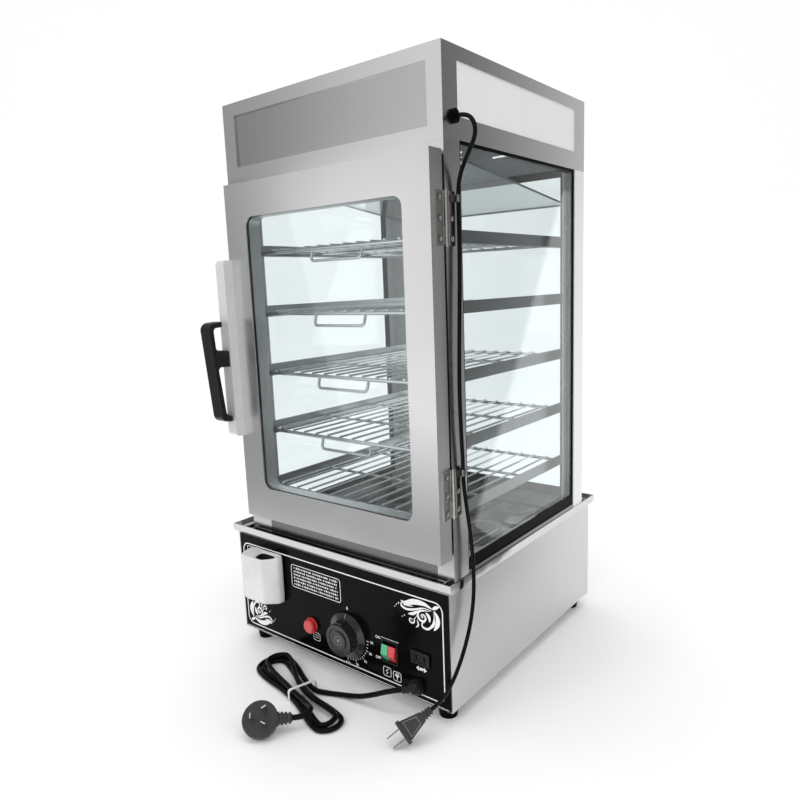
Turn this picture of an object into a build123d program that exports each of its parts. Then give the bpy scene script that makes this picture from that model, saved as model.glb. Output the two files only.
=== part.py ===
# Glass bun steamer cabinet: a heated water base with a control panel, a drip tray, a glazed
# cabinet with five wire racks, a light box on top and a glazed door on butt hinges.
#
# Drawn with x = 0 on the cabinet's centre line, y = 0 on its front plane and z = 0 on the
# table, in millimetres. save() shifts every piece so that the origin is the middle of the
# machine's footprint, without its cords.

from build123d import *
import math
import os

os.makedirs("parts", exist_ok=True)

# Clearances
FIT = 0.3            # between pieces that sit against each other without touching
RUN = 0.1            # radial, between a turning piece and its pin

# Glass cabinet
CAB_W = 380.0
CAB_D = 375.0
CASE_H = 534.0       # posts, from the tray floor to the light box
HEADER_H = 101.0
SHEET = 1.2
POST_T = 1.5
POST_SIDE = 32.4     # post's leg along the side
POST_LEFT = 42.0     # left posts' leg along the front and the back
POST_RIGHT = 25.0
POST_WEB = 22.0      # slotted inner flange that carries the rack rails
SILL_H = 15.3        # side rails under the glass
GLASS_T = 4.0
SEAL_T = 2.0
SEAL_BAND = 3.5      # seal seen inside the posts
SEAL_BOTTOM = 15.0   # and along the bottom edge
BACK_SEAL = 12.0
DRIP_FALL = 43.0     # condensate plate's drop from front to back
DRIP_T = 3.0
GLASS_IN_HEADER = 8.0

# Base and tray
FOOT_H = 20.0
FOOT_R = 14.0
FOOT_INSET = 22.5
BASE_H = 158.0
BASE_LEFT = 22.3     # how far the base stands out past the cabinet, on each side
BASE_RIGHT = 1.1
BASE_FRONT = 13.2
BASE_BACK = 24.3
BASE_FLANGE = 14.0
PANEL_T = 1.5
PANEL_IN_LEFT = 3.8
PANEL_IN_RIGHT = 1.6
RIM_H = 11.0
RIM_T = 1.5
RIM_LEFT = 37.7
RIM_RIGHT = 1.7
RIM_FRONT = 11.8
RIM_BACK = 45.8
RIM_ROUND = 5.0
PAN_W = 272.0
PAN_D = 286.0
PAN_DEPTH = 42.0
PAN_FRONT = 42.0     # pan's front wall behind the cabinet's front
PAN_T = 1.0
PAN_LIP = 12.0
HEATER_R = 4.0
GUTTER_H = 8.5
GUTTER_T = 1.0

# Racks and rails
RACK_COUNT = 5
RACK_FIRST = 80.8    # lowest rack's frame wire above the tray floor
RACK_PITCH = 86.5
RAIL_H = 16.0
RAIL_LEDGE = 14.0
RAIL_T = 1.5
RACK_WIRE_R = 2.5
GRID_WIRE_R = 1.5
CROSS_WIRE_R = 2.0
GRID_COUNT = 12
WELD = 0.4           # how deep welded wires bite into each other
GRIP_W = 90.0
GRIP_DROP = 16.0

# Header
SIGN_LEFT = 23.3     # header window's margins
SIGN_RIGHT = 21.2
SIGN_LOW = 14.0
SIGN_TOP = 17.4
LIGHT_FRONT = 29.9
LIGHT_BACK = 34.2
LIGHT_LOW = 25.4
LIGHT_TOP = 16.4
SKIRT = 30.0         # front plate below the header, behind the door's top
SIGN_T = 2.0
SIGN_RECESS = 2.2    # sign's face behind the sheet
TUBE_W = 24.0        # strip lamp
TUBE_H = 18.0

# Door
DOOR_SHORT = 25.0    # left post that shows beside the door
DOOR_BELOW = 13.5    # door's upper edge below the light box
DOOR_T = 24.0
DOOR_GAP = 4.0
DOOR_LIFT = 42.0     # door's lower edge above the tray floor
WINDOW_LEFT = 41.7
WINDOW_RIGHT = 39.9
WINDOW_LOW = 46.8
WINDOW_TOP = 46.4
WINDOW_R = 13.0
DOOR_SKIN = 1.5
DOOR_LAP = 10.0      # glass behind the skin
DOOR_SEAL_W = 10.0
DOOR_SEAL_IN = 4.0

# Hinges
HINGE_H = 60.5
HINGE_LOW = 95.3     # lower hinge's lower end above the tray floor
HINGE_APART = 320.5
LEAF_T = 1.6
LEAF_W = 19.0
KNUCKLE_R = 3.0
PIN_R = 1.5
PIN_FROM_SIDE = 3.0
PIN_AHEAD = 1.2      # pin's centre in front of the cabinet's front plane
KNUCKLES = (0.26, 0.37, 0.37)    # door, frame, door shares of the height, from the top
KNUCKLE_GAP = 0.5
SCREW_R = 3.2

# Door handle
STRIP_W = 18.2
STRIP_T = 15.0
STRIP_OUT = 12.4     # stands out past the door's left edge
STRIP_H = 253.0
STRIP_LOW = 123.0    # above the door's lower edge
STRIP_LEG = 21.0
HANDLE_W = 22.0
HANDLE_OUT = 47.0    # grip's front in front of the door's face

# Control panel, from the panel's right edge and the base's lower edge
KNOB_IN = 172.1
KNOB_UP = 54.2
SKIRT_R = 33.0
GRIP_R = 24.0
KNOB_H = 19.8
SHAFT_R = 3.0
SHAFT_L = 14.0
LAMP_IN = 244.5
LAMP_UP = 47.0
LAMP_R = 10.5
LAMP_H = 9.0
SWITCH_IN = 95.8
SWITCH_UP = 53.0
SWITCH_W = 27.5
SWITCH_H = 33.0
BEZEL_T = 2.0
SWITCH_BODY = 24.0
ROCKER_TILT = 20.0
OUTLET_IN = 44.6
OUTLET_UP = 61.75
OUTLET_W = 29.2
OUTLET_H = 17.5
GLAND_IN = 51.5
GLAND_UP = 19.9
GLAND_R = 11.0
CUP_W = 68.0
CUP_H = 70.5
CUP_D = 28.7
CUP_IN = 31.0        # from the panel's left edge
CUP_UP = 71.0
CUP_ROUND = 3.5
CUP_CUT_TOP = 17.0   # cut off the front corners at the mouth, and at the bottom
CUP_CUT_LOW = 8.0
CUP_FUNNEL = 14.0    # depth of the sloping mouth
WELL_LEFT = 25.0     # well's sides from the cup's
WELL_RIGHT = 14.0
WELL_WALL = 6.0

# Cords
CORD_D = 7.0
LAMP_CORD_D = 5.0
GLAND_DIR = Vector(-0.87, -0.45, -0.2).normalized()
GLAND_NOSE = 17.0
LAMP_PLUG_BACK = Vector(180.0, -43.0, 38.5)
LAMP_PLUG_DIR = Vector(-0.469, -0.73, -0.499).normalized()
LAMP_PLUG_ROLL = 52.0
LAMP_PLUG_NECK = 16.0
LAMP_PLUG_BODY = 24.5
LAMP_PLUG_FLANGE = 4.0
HANK_CENTRE = (-16.0, -78.0)
HANK_AXIS = Vector(0.954, -0.30, 0).normalized()     # towards the right-hand lobe
HANK_LEFT = (84.0, 15.0)     # lobe's centre from the tie, and its radius without the strands
HANK_RIGHT = (70.0, 13.0)
HANK_BEND = 4.0          # right lobe's shift towards the machine
HANK_FAN = 14.0          # uppermost left loop's shift towards the machine
HANK_PITCH = CORD_D + 0.8
HANK_LIFT = 1.9          # strands over the tie
HANK_WAIST = (1.75, -1.5, 0.5, -0.5, -0.5, -1.5)    # strands at the tie, in pitches
HANK_LAYERS = (0, 0, 0, 0, 1, 1)
LOBE_CORNERS = 4
TIE_T = 1.0
TIE_W = 4.0
PLUG_AT = (2.5, -165.5)
PLUG_EXIT = Vector(0.73, 0.68, 0).normalized()
PLUG_LEAN = 48.0
PLUG_R = 22.5
PLUG_T = 16.0
PLUG_BACK = 0.8      # back's radius as a share of the face's
RELIEF_L = 17.0
PIN_L = 18.0
GROMMET_R = 8.0
GROMMET_Y = 20.7
GROMMET_UP = 24.3    # above the header's lower edge
CLIP_T = 0.8
CLIP_W = 8.0

# Places worked out from the sizes above
X_L, X_R = -CAB_W / 2, CAB_W / 2
Z_TRAY = FOOT_H + BASE_H
Z_FLOOR = Z_TRAY + SHEET
Z_HEAD = Z_FLOOR + CASE_H
Z_TOP = Z_HEAD + HEADER_H
BX0, BX1 = X_L - BASE_LEFT, X_R + BASE_RIGHT
BY0, BY1 = -BASE_FRONT, CAB_D + BASE_BACK
PX0, PX1 = BX0 + PANEL_IN_LEFT, BX1 - PANEL_IN_RIGHT
PANEL_Y = BY0 - PANEL_T
TX0, TX1 = X_L - RIM_LEFT, X_R + RIM_RIGHT
TY0, TY1 = -RIM_FRONT, CAB_D + RIM_BACK
IN_L, IN_R = X_L + POST_LEFT, X_R - POST_RIGHT
DX0, DX1 = X_L + DOOR_SHORT, X_R
DY0, DY1 = -DOOR_GAP - DOOR_T, -DOOR_GAP
DZ0 = Z_FLOOR + DOOR_LIFT
DZ1 = Z_HEAD - DOOR_BELOW
PAN_X = (IN_L + IN_R) / 2
PIN_X, PIN_Y = X_R + PIN_FROM_SIDE, -PIN_AHEAD
HINGE_ZS = (Z_FLOOR + HINGE_LOW, Z_FLOOR + HINGE_LOW + HINGE_APART)
CLIP_R = LAMP_CORD_D / 2 + 0.4 + CLIP_T
CLIP_X = X_R + LEAF_T + CLIP_R
GRIP_Y = DY0 - HANDLE_OUT

SHIFT = (-(TX0 + CLIP_X + CLIP_R) / 2, -(GRIP_Y + TY1) / 2, 0)


def save(name, *solids):
    """Write one node, shifted to the part's own origin."""
    moved = [Pos(*SHIFT) * s for s in solids]
    shape = moved[0] if len(moved) == 1 else Compound(children=moved)
    export_step(shape, f"parts/{name}.step")


def block(x0, x1, y0, y1, z0, z1):
    """Box between two corners."""
    centre = Pos((x0 + x1) / 2, (y0 + y1) / 2, (z0 + z1) / 2)
    return centre * Box(x1 - x0, y1 - y0, z1 - z0)


def rod(start, axis, radius, length):
    """Cylinder from a point along an axis."""
    return extrude(Plane(origin=start, z_dir=axis) * Circle(radius), length)


def front_plane(y):
    """Plane facing the viewer: its x runs along +X and its y along +Z."""
    return Plane(origin=(0, y, 0), x_dir=(1, 0, 0), z_dir=(0, -1, 0))


def window(x0, x1, z0, z1, r, y0, y1):
    """Rounded opening between two depths, to cut or to fill."""
    face = Pos((x0 + x1) / 2, (z0 + z1) / 2) * RectangleRounded(x1 - x0, z1 - z0, r)
    return extrude(front_plane(y1) * face, y1 - y0)


# Base

def base_shell():
    """Folded wall round the base, open at the front, with flanges for the panel and tray."""
    walls = block(BX0, BX1, BY0, BY1, FOOT_H, Z_TRAY)
    walls -= block(BX0 + SHEET, BX1 - SHEET, BY0 + SHEET, BY1 - SHEET, FOOT_H - 1, Z_TRAY - SHEET)
    walls -= block(BX0 + BASE_FLANGE, BX1 - BASE_FLANGE, BY0 + BASE_FLANGE, BY1 - BASE_FLANGE,
                   Z_TRAY - 2 * SHEET, Z_TRAY + 1)
    walls -= block(BX0 + BASE_FLANGE, BX1 - BASE_FLANGE, BY0 - 1, BY0 + 2 * SHEET,
                   FOOT_H + SHEET + 2, Z_TRAY - SHEET - 3)
    slot_l, slot_h, rows = 70.0, 3.5, 5
    for side in (-1, 1):
        for row in range(rows):
            z = FOOT_H + BASE_H * 0.45 + 3 * slot_h * row
            x = (BX0 + BX1) / 2 + side * slot_l
            walls -= block(x - slot_l / 2, x + slot_l / 2, BY1 - 2 * SHEET, BY1 + 1, z, z + slot_h)
    return walls


def base_plate():
    """Bottom plate between the walls, with a field of vent slots."""
    plate = block(BX0 + SHEET, BX1 - SHEET, BY0 + SHEET, BY1 - SHEET, FOOT_H, FOOT_H + SHEET)
    slot_l, slot_w, count = 80.0, 5.0, 7
    for i in range(count):
        x = (BX0 + BX1) / 2 + (i - (count - 1) / 2) * 4 * slot_w
        y = (BY0 + BY1) / 2
        plate -= block(x - slot_w / 2, x + slot_w / 2, y - slot_l / 2, y + slot_l / 2,
                       FOOT_H - 1, FOOT_H + SHEET + 1)
    return plate


def foot(x, y):
    """Tapered rubber foot with a screw recess underneath."""
    tip, recess_r, recess_h = FOOT_R * 0.86, 4.0, 8.0
    side = Polyline((recess_r, 0), (tip, 0), (FOOT_R, FOOT_H * 0.7), (FOOT_R, FOOT_H), (0, FOOT_H),
                    (0, recess_h), (recess_r, recess_h), close=True)
    return Pos(x, y, 0) * revolve(Plane.XZ * make_face(side), Axis.Z)


def feet():
    xs = (BX0 + FOOT_INSET, BX1 - FOOT_INSET)
    ys = (BY0 + FOOT_INSET, BY1 - FOOT_INSET)
    return [foot(x, y) for x in xs for y in ys]


def panel_point(inset, up):
    """A place on the panel, from its right edge and the base's lower edge."""
    return PX1 - inset, FOOT_H + up


def control_panel():
    """Black front plate with the holes that its fittings pass through."""
    plate = block(PX0, PX1, PANEL_Y, BY0, FOOT_H + PANEL_IN_RIGHT, Z_TRAY - FIT)
    holes = ((KNOB_IN, KNOB_UP, SHAFT_R + 2), (LAMP_IN, LAMP_UP, LAMP_R * 0.6),
             (GLAND_IN, GLAND_UP, GLAND_R * 0.6))
    for inset, up, r in holes:
        x, z = panel_point(inset, up)
        plate -= rod((x, BY0 + 1, z), (0, -1, 0), r, PANEL_T + 2)
    for inset, up, w, h in ((SWITCH_IN, SWITCH_UP, SWITCH_W, SWITCH_H),
                            (OUTLET_IN, OUTLET_UP, OUTLET_W, OUTLET_H)):
        x, z = panel_point(inset, up)
        plate -= block(x - w / 2 + 1.5, x + w / 2 - 1.5, PANEL_Y - 1, BY0 + 1,
                       z - h / 2 + 1.5, z + h / 2 - 1.5)
    return plate


def drip_tray():
    """Pressed tray on the base, with an upright rim and an opening for the water pan."""
    outer = block(TX0, TX1, TY0, TY1, Z_TRAY, Z_TRAY + RIM_H)
    low = outer.edges().group_by(Axis.Z)[0]
    outer = fillet(low.sort_by(Axis.X)[0:1] + low.sort_by(Axis.Y)[-1:], RIM_ROUND)
    well = block(TX0 + RIM_T, TX1 - RIM_T, TY0 + RIM_T, TY1 - RIM_T, Z_FLOOR, Z_TRAY + RIM_H + 1)
    low = well.edges().group_by(Axis.Z)[0]
    well = fillet(low.sort_by(Axis.X)[0:1] + low.sort_by(Axis.Y)[-1:], RIM_ROUND - RIM_T)
    hole = block(PAN_X - PAN_W / 2 - 1, PAN_X + PAN_W / 2 + 1, PAN_FRONT - 1, PAN_FRONT + PAN_D + 1,
                 Z_TRAY - 1, Z_FLOOR + 1)
    return outer - well - hole


def drip_gutter():
    """Bright channel under the door that catches what runs off it."""
    x0, x1 = X_L + 4, X_R - 12
    y0, y1 = TY0 + RIM_T + FIT, -FIT
    body = block(x0, x1, y0, y1, Z_FLOOR, Z_FLOOR + GUTTER_H)
    body -= block(x0 + GUTTER_T, x1 - GUTTER_T, y0 + GUTTER_T, y1 - GUTTER_T,
                  Z_FLOOR + GUTTER_T, Z_FLOOR + GUTTER_H + 1)
    return body


def water_pan():
    """Deep pan hung in the tray's opening by its lip."""
    x0, x1 = PAN_X - PAN_W / 2, PAN_X + PAN_W / 2
    y0, y1 = PAN_FRONT, PAN_FRONT + PAN_D
    corner = 18.0
    deep = Pos((x0 + x1) / 2, (y0 + y1) / 2, Z_FLOOR + PAN_T - PAN_DEPTH)
    outside = deep * extrude(RectangleRounded(x1 - x0, y1 - y0, corner), PAN_DEPTH)
    lip = Pos((x0 + x1) / 2, (y0 + y1) / 2, Z_FLOOR)
    lip *= extrude(RectangleRounded(x1 - x0 + 2 * PAN_LIP, y1 - y0 + 2 * PAN_LIP, corner), PAN_T)
    inside = deep * Pos(0, 0, PAN_T)
    inside *= extrude(RectangleRounded(x1 - x0 - 2 * PAN_T, y1 - y0 - 2 * PAN_T, corner - PAN_T),
                      PAN_DEPTH)
    pan = outside + lip - inside
    for x in (heater_xs()[0], heater_xs()[-1]):
        pan -= rod((x, y0 - 1, heater_z()), (0, 1, 0), HEATER_R + FIT, PAN_T + 2)
    return pan


def heater_xs():
    """Four legs of the heating tube, side by side."""
    step = PAN_W / 5
    return [PAN_X + (i - 1.5) * step for i in range(4)]


def heater_z():
    return Z_FLOOR - PAN_DEPTH + 14


def heating_element():
    """Tube bent three times, lying in the pan, with both ends out through its front wall."""
    xs, z = heater_xs(), heater_z()
    start, near, far = PAN_FRONT - 22, PAN_FRONT + 70, PAN_FRONT + PAN_D - 60
    r = (xs[1] - xs[0]) / 2
    path = Line((xs[0], start, z), (xs[0], far, z))
    path += ThreePointArc((xs[0], far, z), (xs[0] + r, far + r, z), (xs[1], far, z))
    path += Line((xs[1], far, z), (xs[1], near, z))
    path += ThreePointArc((xs[1], near, z), (xs[1] + r, near - r, z), (xs[2], near, z))
    path += Line((xs[2], near, z), (xs[2], far, z))
    path += ThreePointArc((xs[2], far, z), (xs[2] + r, far + r, z), (xs[3], far, z))
    path += Line((xs[3], far, z), (xs[3], start, z))
    return sweep(Plane(origin=(xs[0], start, z), z_dir=(0, 1, 0)) * Circle(HEATER_R), path)


# Fittings on the panel

def thermostat():
    """Thermostat behind the panel, with its shaft through it."""
    x, z = panel_point(KNOB_IN, KNOB_UP)
    body = block(x - 21, x + 21, BY0, BY0 + 26, z - 18, z + 18)
    body += rod((x, BY0 + 1, z), (0, -1, 0), SHAFT_R, PANEL_T + 1 + SHAFT_L)
    return body


def thermostat_knob():
    """Knob with a sloping skirt, a raised centre disc and a pointer rib."""
    x, z = panel_point(KNOB_IN, KNOB_UP)
    back, skirt = PANEL_Y - 0.8, 5.0
    profile = Polyline((SHAFT_R + RUN, 0), (SKIRT_R, 0), (SKIRT_R, 2), (GRIP_R + 1.5, skirt),
                       (GRIP_R, skirt + 1), (GRIP_R - 1.5, KNOB_H), (GRIP_R - 6, KNOB_H),
                       (GRIP_R - 7, KNOB_H - 1.5), (0, KNOB_H - 1.5), (0, SHAFT_L + 1),
                       (SHAFT_R + RUN, SHAFT_L + 1), close=True)
    knob = revolve(Plane.XZ * make_face(profile), Axis.Z)
    rib = KNOB_H - skirt - 2
    knob += Pos(0, GRIP_R - 2, skirt + rib / 2) * Box(12, 6, rib)
    knob += Pos(0, 0, KNOB_H - 1.5) * extrude(Circle(GRIP_R - 11), 1.5)
    return Pos(x, back, z) * Rot(90, 0, 0) * knob


def indicator_lamp():
    """Red pilot lamp: a domed lens in a flange, with its stem through the panel."""
    x, z = panel_point(LAMP_IN, LAMP_UP)
    profile = Polyline((0, -12), (LAMP_R * 0.55, -12), (LAMP_R * 0.55, 0), (LAMP_R + 1, 0),
                       (LAMP_R + 1, 1.5), (LAMP_R, 2), (LAMP_R, LAMP_H - 2), (LAMP_R - 2, LAMP_H),
                       (0, LAMP_H), close=True)
    return Pos(x, PANEL_Y, z) * Rot(90, 0, 0) * revolve(Plane.XZ * make_face(profile), Axis.Z)


def rocker_centres():
    """Pivot places of the two rockers."""
    x, z = panel_point(SWITCH_IN, SWITCH_UP)
    half = (SWITCH_W - 4) / 4
    return [(x - half, z), (x + half, z)]


def rocker_size():
    return (SWITCH_W - 4) / 2 - 1.0, SWITCH_H - 5


def switch_housing():
    """Twin switch: a bezel on the panel and a box behind it, with a pocket for each rocker."""
    x, z = panel_point(SWITCH_IN, SWITCH_UP)
    w, h = rocker_size()
    body = block(x - SWITCH_W / 2, x + SWITCH_W / 2, PANEL_Y - BEZEL_T, PANEL_Y,
                 z - SWITCH_H / 2, z + SWITCH_H / 2)
    body += block(x - SWITCH_W / 2 + 2, x + SWITCH_W / 2 - 2, PANEL_Y, PANEL_Y + SWITCH_BODY,
                  z - SWITCH_H / 2 + 2, z + SWITCH_H / 2 - 2)
    for cx, cz in rocker_centres():
        body -= block(cx - w / 2 - FIT, cx + w / 2 + FIT, PANEL_Y - BEZEL_T - 1, PANEL_Y + 14,
                      cz - h / 2 - FIT, cz + h / 2 + FIT)
        body += rod((cx - w / 2 - FIT, PANEL_Y + 6, cz), (1, 0, 0), 1.5, w + 2 * FIT)
    return body


def rocker(cx, cz):
    """Rocker with a ridge across its middle, pressed in at the lower end, on a cross pin."""
    w, h = rocker_size()
    pivot = PANEL_Y + 6
    reach = h / 2 - 1.2
    ridge = 6 + BEZEL_T + 5.6
    shoulder = 6 + BEZEL_T + 0.3
    side = Polyline((-shoulder, reach * 0.97), (-ridge, 0), (-shoulder, -reach * 0.97),
                    (1.0, -5), (4.5, -3), (4.5, 3), (1.0, 5), close=True)
    body = extrude(Plane(origin=(cx - w / 2, 0, 0), x_dir=(0, 1, 0), z_dir=(1, 0, 0))
                   * make_face(side), w)
    body -= rod((cx - w / 2 - 1, 0, 0), (1, 0, 0), 1.5 + RUN, w + 2)
    return Pos(0, pivot, cz) * Rot(ROCKER_TILT / 2, 0, 0) * body


def outlet():
    """Two-pin socket with a flange, two slots and a body behind the panel."""
    x, z = panel_point(OUTLET_IN, OUTLET_UP)
    body = block(x - OUTLET_W / 2, x + OUTLET_W / 2, PANEL_Y - 3, PANEL_Y,
                 z - OUTLET_H / 2, z + OUTLET_H / 2)
    body += block(x - OUTLET_W / 2 + 2, x + OUTLET_W / 2 - 2, PANEL_Y, PANEL_Y + 18,
                  z - OUTLET_H / 2 + 2, z + OUTLET_H / 2 - 2)
    body -= block(x - 10.5, x + 10.5, PANEL_Y - 4, PANEL_Y - 2, z - 6, z + 6)
    for side in (-1, 1):
        sx = x + side * 6.35
        body -= block(sx - 1.1, sx + 1.1, PANEL_Y - 4, PANEL_Y + 14, z - 3.8, z + 3.8)
    return body


def cup_outline(inset, cut, z):
    """Outline of the cup at a height, with its two front corners cut off."""
    x0, x1 = PX0 + CUP_IN + inset, PX0 + CUP_IN + CUP_W - inset
    y0, y1 = PANEL_Y - CUP_D + inset, PANEL_Y - inset
    return Pos(0, 0, z) * make_face(Polyline((x0, y1), (x1, y1), (x1, y0 + 1.1 * cut),
                                             (x1 - cut, y0), (x0 + cut, y0),
                                             (x0, y0 + 1.1 * cut), close=True))


def filler_cup():
    """Water cup on the panel: a thick rim, a sloping mouth and a well with a spout."""
    x0, x1 = PX0 + CUP_IN, PX0 + CUP_IN + CUP_W
    z0 = FOOT_H + CUP_UP
    z1 = z0 + CUP_H
    cup = loft([cup_outline(0, CUP_CUT_LOW, z0), cup_outline(0, CUP_CUT_TOP, z1)], ruled=True)
    outer = cup.edges().filter_by(lambda e: e.center().Y < PANEL_Y - 1)
    cup = fillet(outer, CUP_ROUND)
    wx0, wx1 = x0 + WELL_LEFT, x1 - WELL_RIGHT
    wy0, wy1 = PANEL_Y - CUP_D + WELL_WALL + 1, PANEL_Y - WELL_WALL + 1
    mouth = cup_outline(CUP_ROUND + 1, CUP_CUT_TOP - 3, z1 + 0.01)
    drain = Pos((wx0 + wx1) / 2, (wy0 + wy1) / 2, z1 - CUP_FUNNEL)
    cup -= loft([drain * Rectangle(wx1 - wx0, wy1 - wy0), mouth])
    cup -= block(wx0, wx1, wy0, wy1, z0 + WELL_WALL, z1 - CUP_FUNNEL + 0.01)
    cup -= rod(((wx0 + wx1) / 2, PANEL_Y + 1, z0 + 20), (0, -1, 0), 5.0, WELL_WALL + 2)
    return cup


def power_gland():
    """Moulded cord grip with its nose turned towards the cord's run."""
    x, z = panel_point(GLAND_IN, GLAND_UP)
    body = rod((x, PANEL_Y, z), (0, -1, 0), GLAND_R, 5)
    dome = Pos(x, PANEL_Y - 5, z) * Sphere(GLAND_R - 1.5)
    body += dome & block(x - 20, x + 20, PANEL_Y - 20, PANEL_Y - 4, z - 20, z + 20)
    body += rod((x, PANEL_Y + 14, z), (0, -1, 0), GLAND_R * 0.55, 15)
    body += rod(gland_start(), GLAND_DIR, CORD_D / 2 + 1.8, GLAND_NOSE)
    return body


def gland_start():
    x, z = panel_point(GLAND_IN, GLAND_UP)
    return Vector(x, PANEL_Y - 6, z)


def gland_exit():
    return gland_start() + GLAND_DIR * GLAND_NOSE


# Cabinet

def post(sx, leg, back):
    """Corner post: a folded angle with a slotted inner flange for the rails."""
    x_out = X_L if sx < 0 else X_R
    x_web = x_out - sx * leg
    y_face = CAB_D if back else 0.0
    d = -1 if back else 1

    def plate(xa, xb, ya, yb):
        return block(min(xa, xb), max(xa, xb), min(ya, yb), max(ya, yb), Z_FLOOR, Z_HEAD)

    body = plate(x_out, x_out - sx * POST_T, y_face, y_face + d * POST_SIDE)
    body += plate(x_out, x_web, y_face, y_face + d * POST_T)
    body += plate(x_web, x_web + sx * POST_T, y_face, y_face + d * POST_WEB)
    y_slot = y_face + d * (POST_WEB * 0.62)
    for z in rack_zs():
        for step in (22, 36):
            body -= block(min(x_web, x_web + sx * POST_T) - 1, max(x_web, x_web + sx * POST_T) + 1,
                          y_slot - 3, y_slot + 3, z + step, z + step + 7)
    return body


def sill_rails():
    """Bottom rails between the posts: two sides, back, and a tall front sill."""
    zs = Z_FLOOR + SILL_H
    rails = []
    for sx in (-1, 1):
        x_out = sx * CAB_W / 2
        xa, xb = sorted((x_out, x_out - sx * POST_T))
        rail = block(xa, xb, POST_SIDE, CAB_D - POST_SIDE, Z_FLOOR, zs)
        xa, xb = sorted((x_out, x_out - sx * 10))
        rail += block(xa, xb, POST_SIDE, CAB_D - POST_SIDE, zs - POST_T, zs)
        rails.append(rail)
    back = block(IN_L, IN_R, CAB_D - POST_T, CAB_D, Z_FLOOR, zs)
    back += block(IN_L, IN_R, CAB_D - 10, CAB_D, zs - POST_T, zs)
    front_top = DZ0 + DOOR_SEAL_IN + DOOR_SEAL_W + 3
    front = block(IN_L, IN_R, 0, POST_T, Z_FLOOR, front_top)
    front += block(IN_L, IN_R, 0, 12, front_top - POST_T, front_top)
    return rails + [back, front]


def header_shell():
    """Light box: folded top and sides with window openings, and a skirt behind the door."""
    box = block(X_L, X_R, 0, CAB_D, Z_HEAD, Z_TOP)
    box -= block(X_L + SHEET, X_R - SHEET, SHEET, CAB_D - SHEET, Z_HEAD - 1, Z_TOP - SHEET)
    box -= block(X_L + SIGN_LEFT, X_R - SIGN_RIGHT, -1, SHEET + 1,
                 Z_HEAD + SIGN_LOW, Z_TOP - SIGN_TOP)
    for x in (X_L, X_R):
        box -= block(x - 3, x + 3, LIGHT_FRONT, CAB_D - LIGHT_BACK,
                     Z_HEAD + LIGHT_LOW, Z_TOP - LIGHT_TOP)
    box += block(IN_L, IN_R, 0, SHEET, Z_HEAD - SKIRT, Z_HEAD + 1)
    box -= rod((X_R - 5, GROMMET_Y, Z_HEAD + GROMMET_UP), (1, 0, 0), GROMMET_R - 2, 10)
    slot_l, slot_h = 60.0, 3.0
    for i in range(3):
        for side in (-1, 1):
            z = Z_HEAD + HEADER_H / 2 + 3 * slot_h * (i - 1)
            box -= block(side * slot_l - slot_l / 2, side * slot_l + slot_l / 2,
                         CAB_D - 3, CAB_D + 1, z, z + slot_h)
    return box


def header_sign():
    """Plain plate behind the light box's front window, sunk in a raised margin."""
    x0, x1 = X_L + SIGN_LEFT, X_R - SIGN_RIGHT
    z0, z1 = Z_HEAD + SIGN_LOW, Z_TOP - SIGN_TOP
    plate = block(x0 - 6, x1 + 6, SHEET, SHEET + SIGN_RECESS + SIGN_T, z0 - 6, z1 + 6)
    return plate - block(x0, x1, 0, SHEET + SIGN_RECESS, z0, z1)


def header_lights():
    """Milky plates behind the light box's side windows."""
    plates = []
    for sx in (-1, 1):
        xa, xb = sorted((sx * (CAB_W / 2 - SHEET), sx * (CAB_W / 2 - SHEET - SIGN_T)))
        plates.append(block(xa, xb, LIGHT_FRONT - 2, CAB_D - LIGHT_BACK + 6,
                            Z_HEAD + LIGHT_LOW - 6, Z_TOP - LIGHT_TOP + 6))
    return plates


def header_lamp():
    """Strip lamp under the roof: a tray with a rounded diffuser."""
    length, y, half = CAB_W * 0.74, CAB_D * 0.3, TUBE_W / 2
    face = Polyline((-half, 0), (-half, -TUBE_H * 0.45), (-half * 0.6, -TUBE_H),
                    (half * 0.6, -TUBE_H), (half, -TUBE_H * 0.45), (half, 0), close=True)
    plane = Plane(origin=(-length / 2, y, Z_TOP - SHEET), x_dir=(0, 1, 0), z_dir=(1, 0, 0))
    return extrude(plane * make_face(face), length)


def side_pane(sx, t_out, t_in):
    """Upright sheet behind a side opening, between two depths from the side plane."""
    xa, xb = sorted((sx * (CAB_W / 2 - POST_T - t_out), sx * (CAB_W / 2 - POST_T - t_in)))
    lap = POST_SIDE - 8
    return block(xa, xb, lap, CAB_D - lap, Z_FLOOR + SILL_H, Z_HEAD + GLASS_IN_HEADER)


def side_glass():
    return [side_pane(sx, SEAL_T, SEAL_T + GLASS_T) for sx in (-1, 1)]


def back_pane(y0, y1):
    """Upright sheet between the rear posts' inner flanges."""
    return block(IN_L + FIT, IN_R - FIT, y0, y1, Z_FLOOR + SILL_H, Z_HEAD + GLASS_IN_HEADER)


def back_glass():
    y1 = CAB_D - POST_T - SEAL_T
    return back_pane(y1 - GLASS_T, y1)


def pane_seals():
    """Black strips between each pane and the steel, deeper along the bottom."""
    seals = []
    top = Z_HEAD - SEAL_BAND
    low = Z_FLOOR + SILL_H + SEAL_BOTTOM
    for sx in (-1, 1):
        ring = side_pane(sx, 0, SEAL_T)
        ring -= block(-CAB_W, CAB_W, POST_SIDE + SEAL_BAND, CAB_D - POST_SIDE - SEAL_BAND, low, top)
        seals.append(ring)
    y1 = CAB_D - POST_T
    back = back_pane(y1 - SEAL_T, y1)
    back -= block(IN_L + BACK_SEAL, IN_R - BACK_SEAL, y1 - SEAL_T - 1, y1 + 1, low, top)
    return seals + [back]


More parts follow.
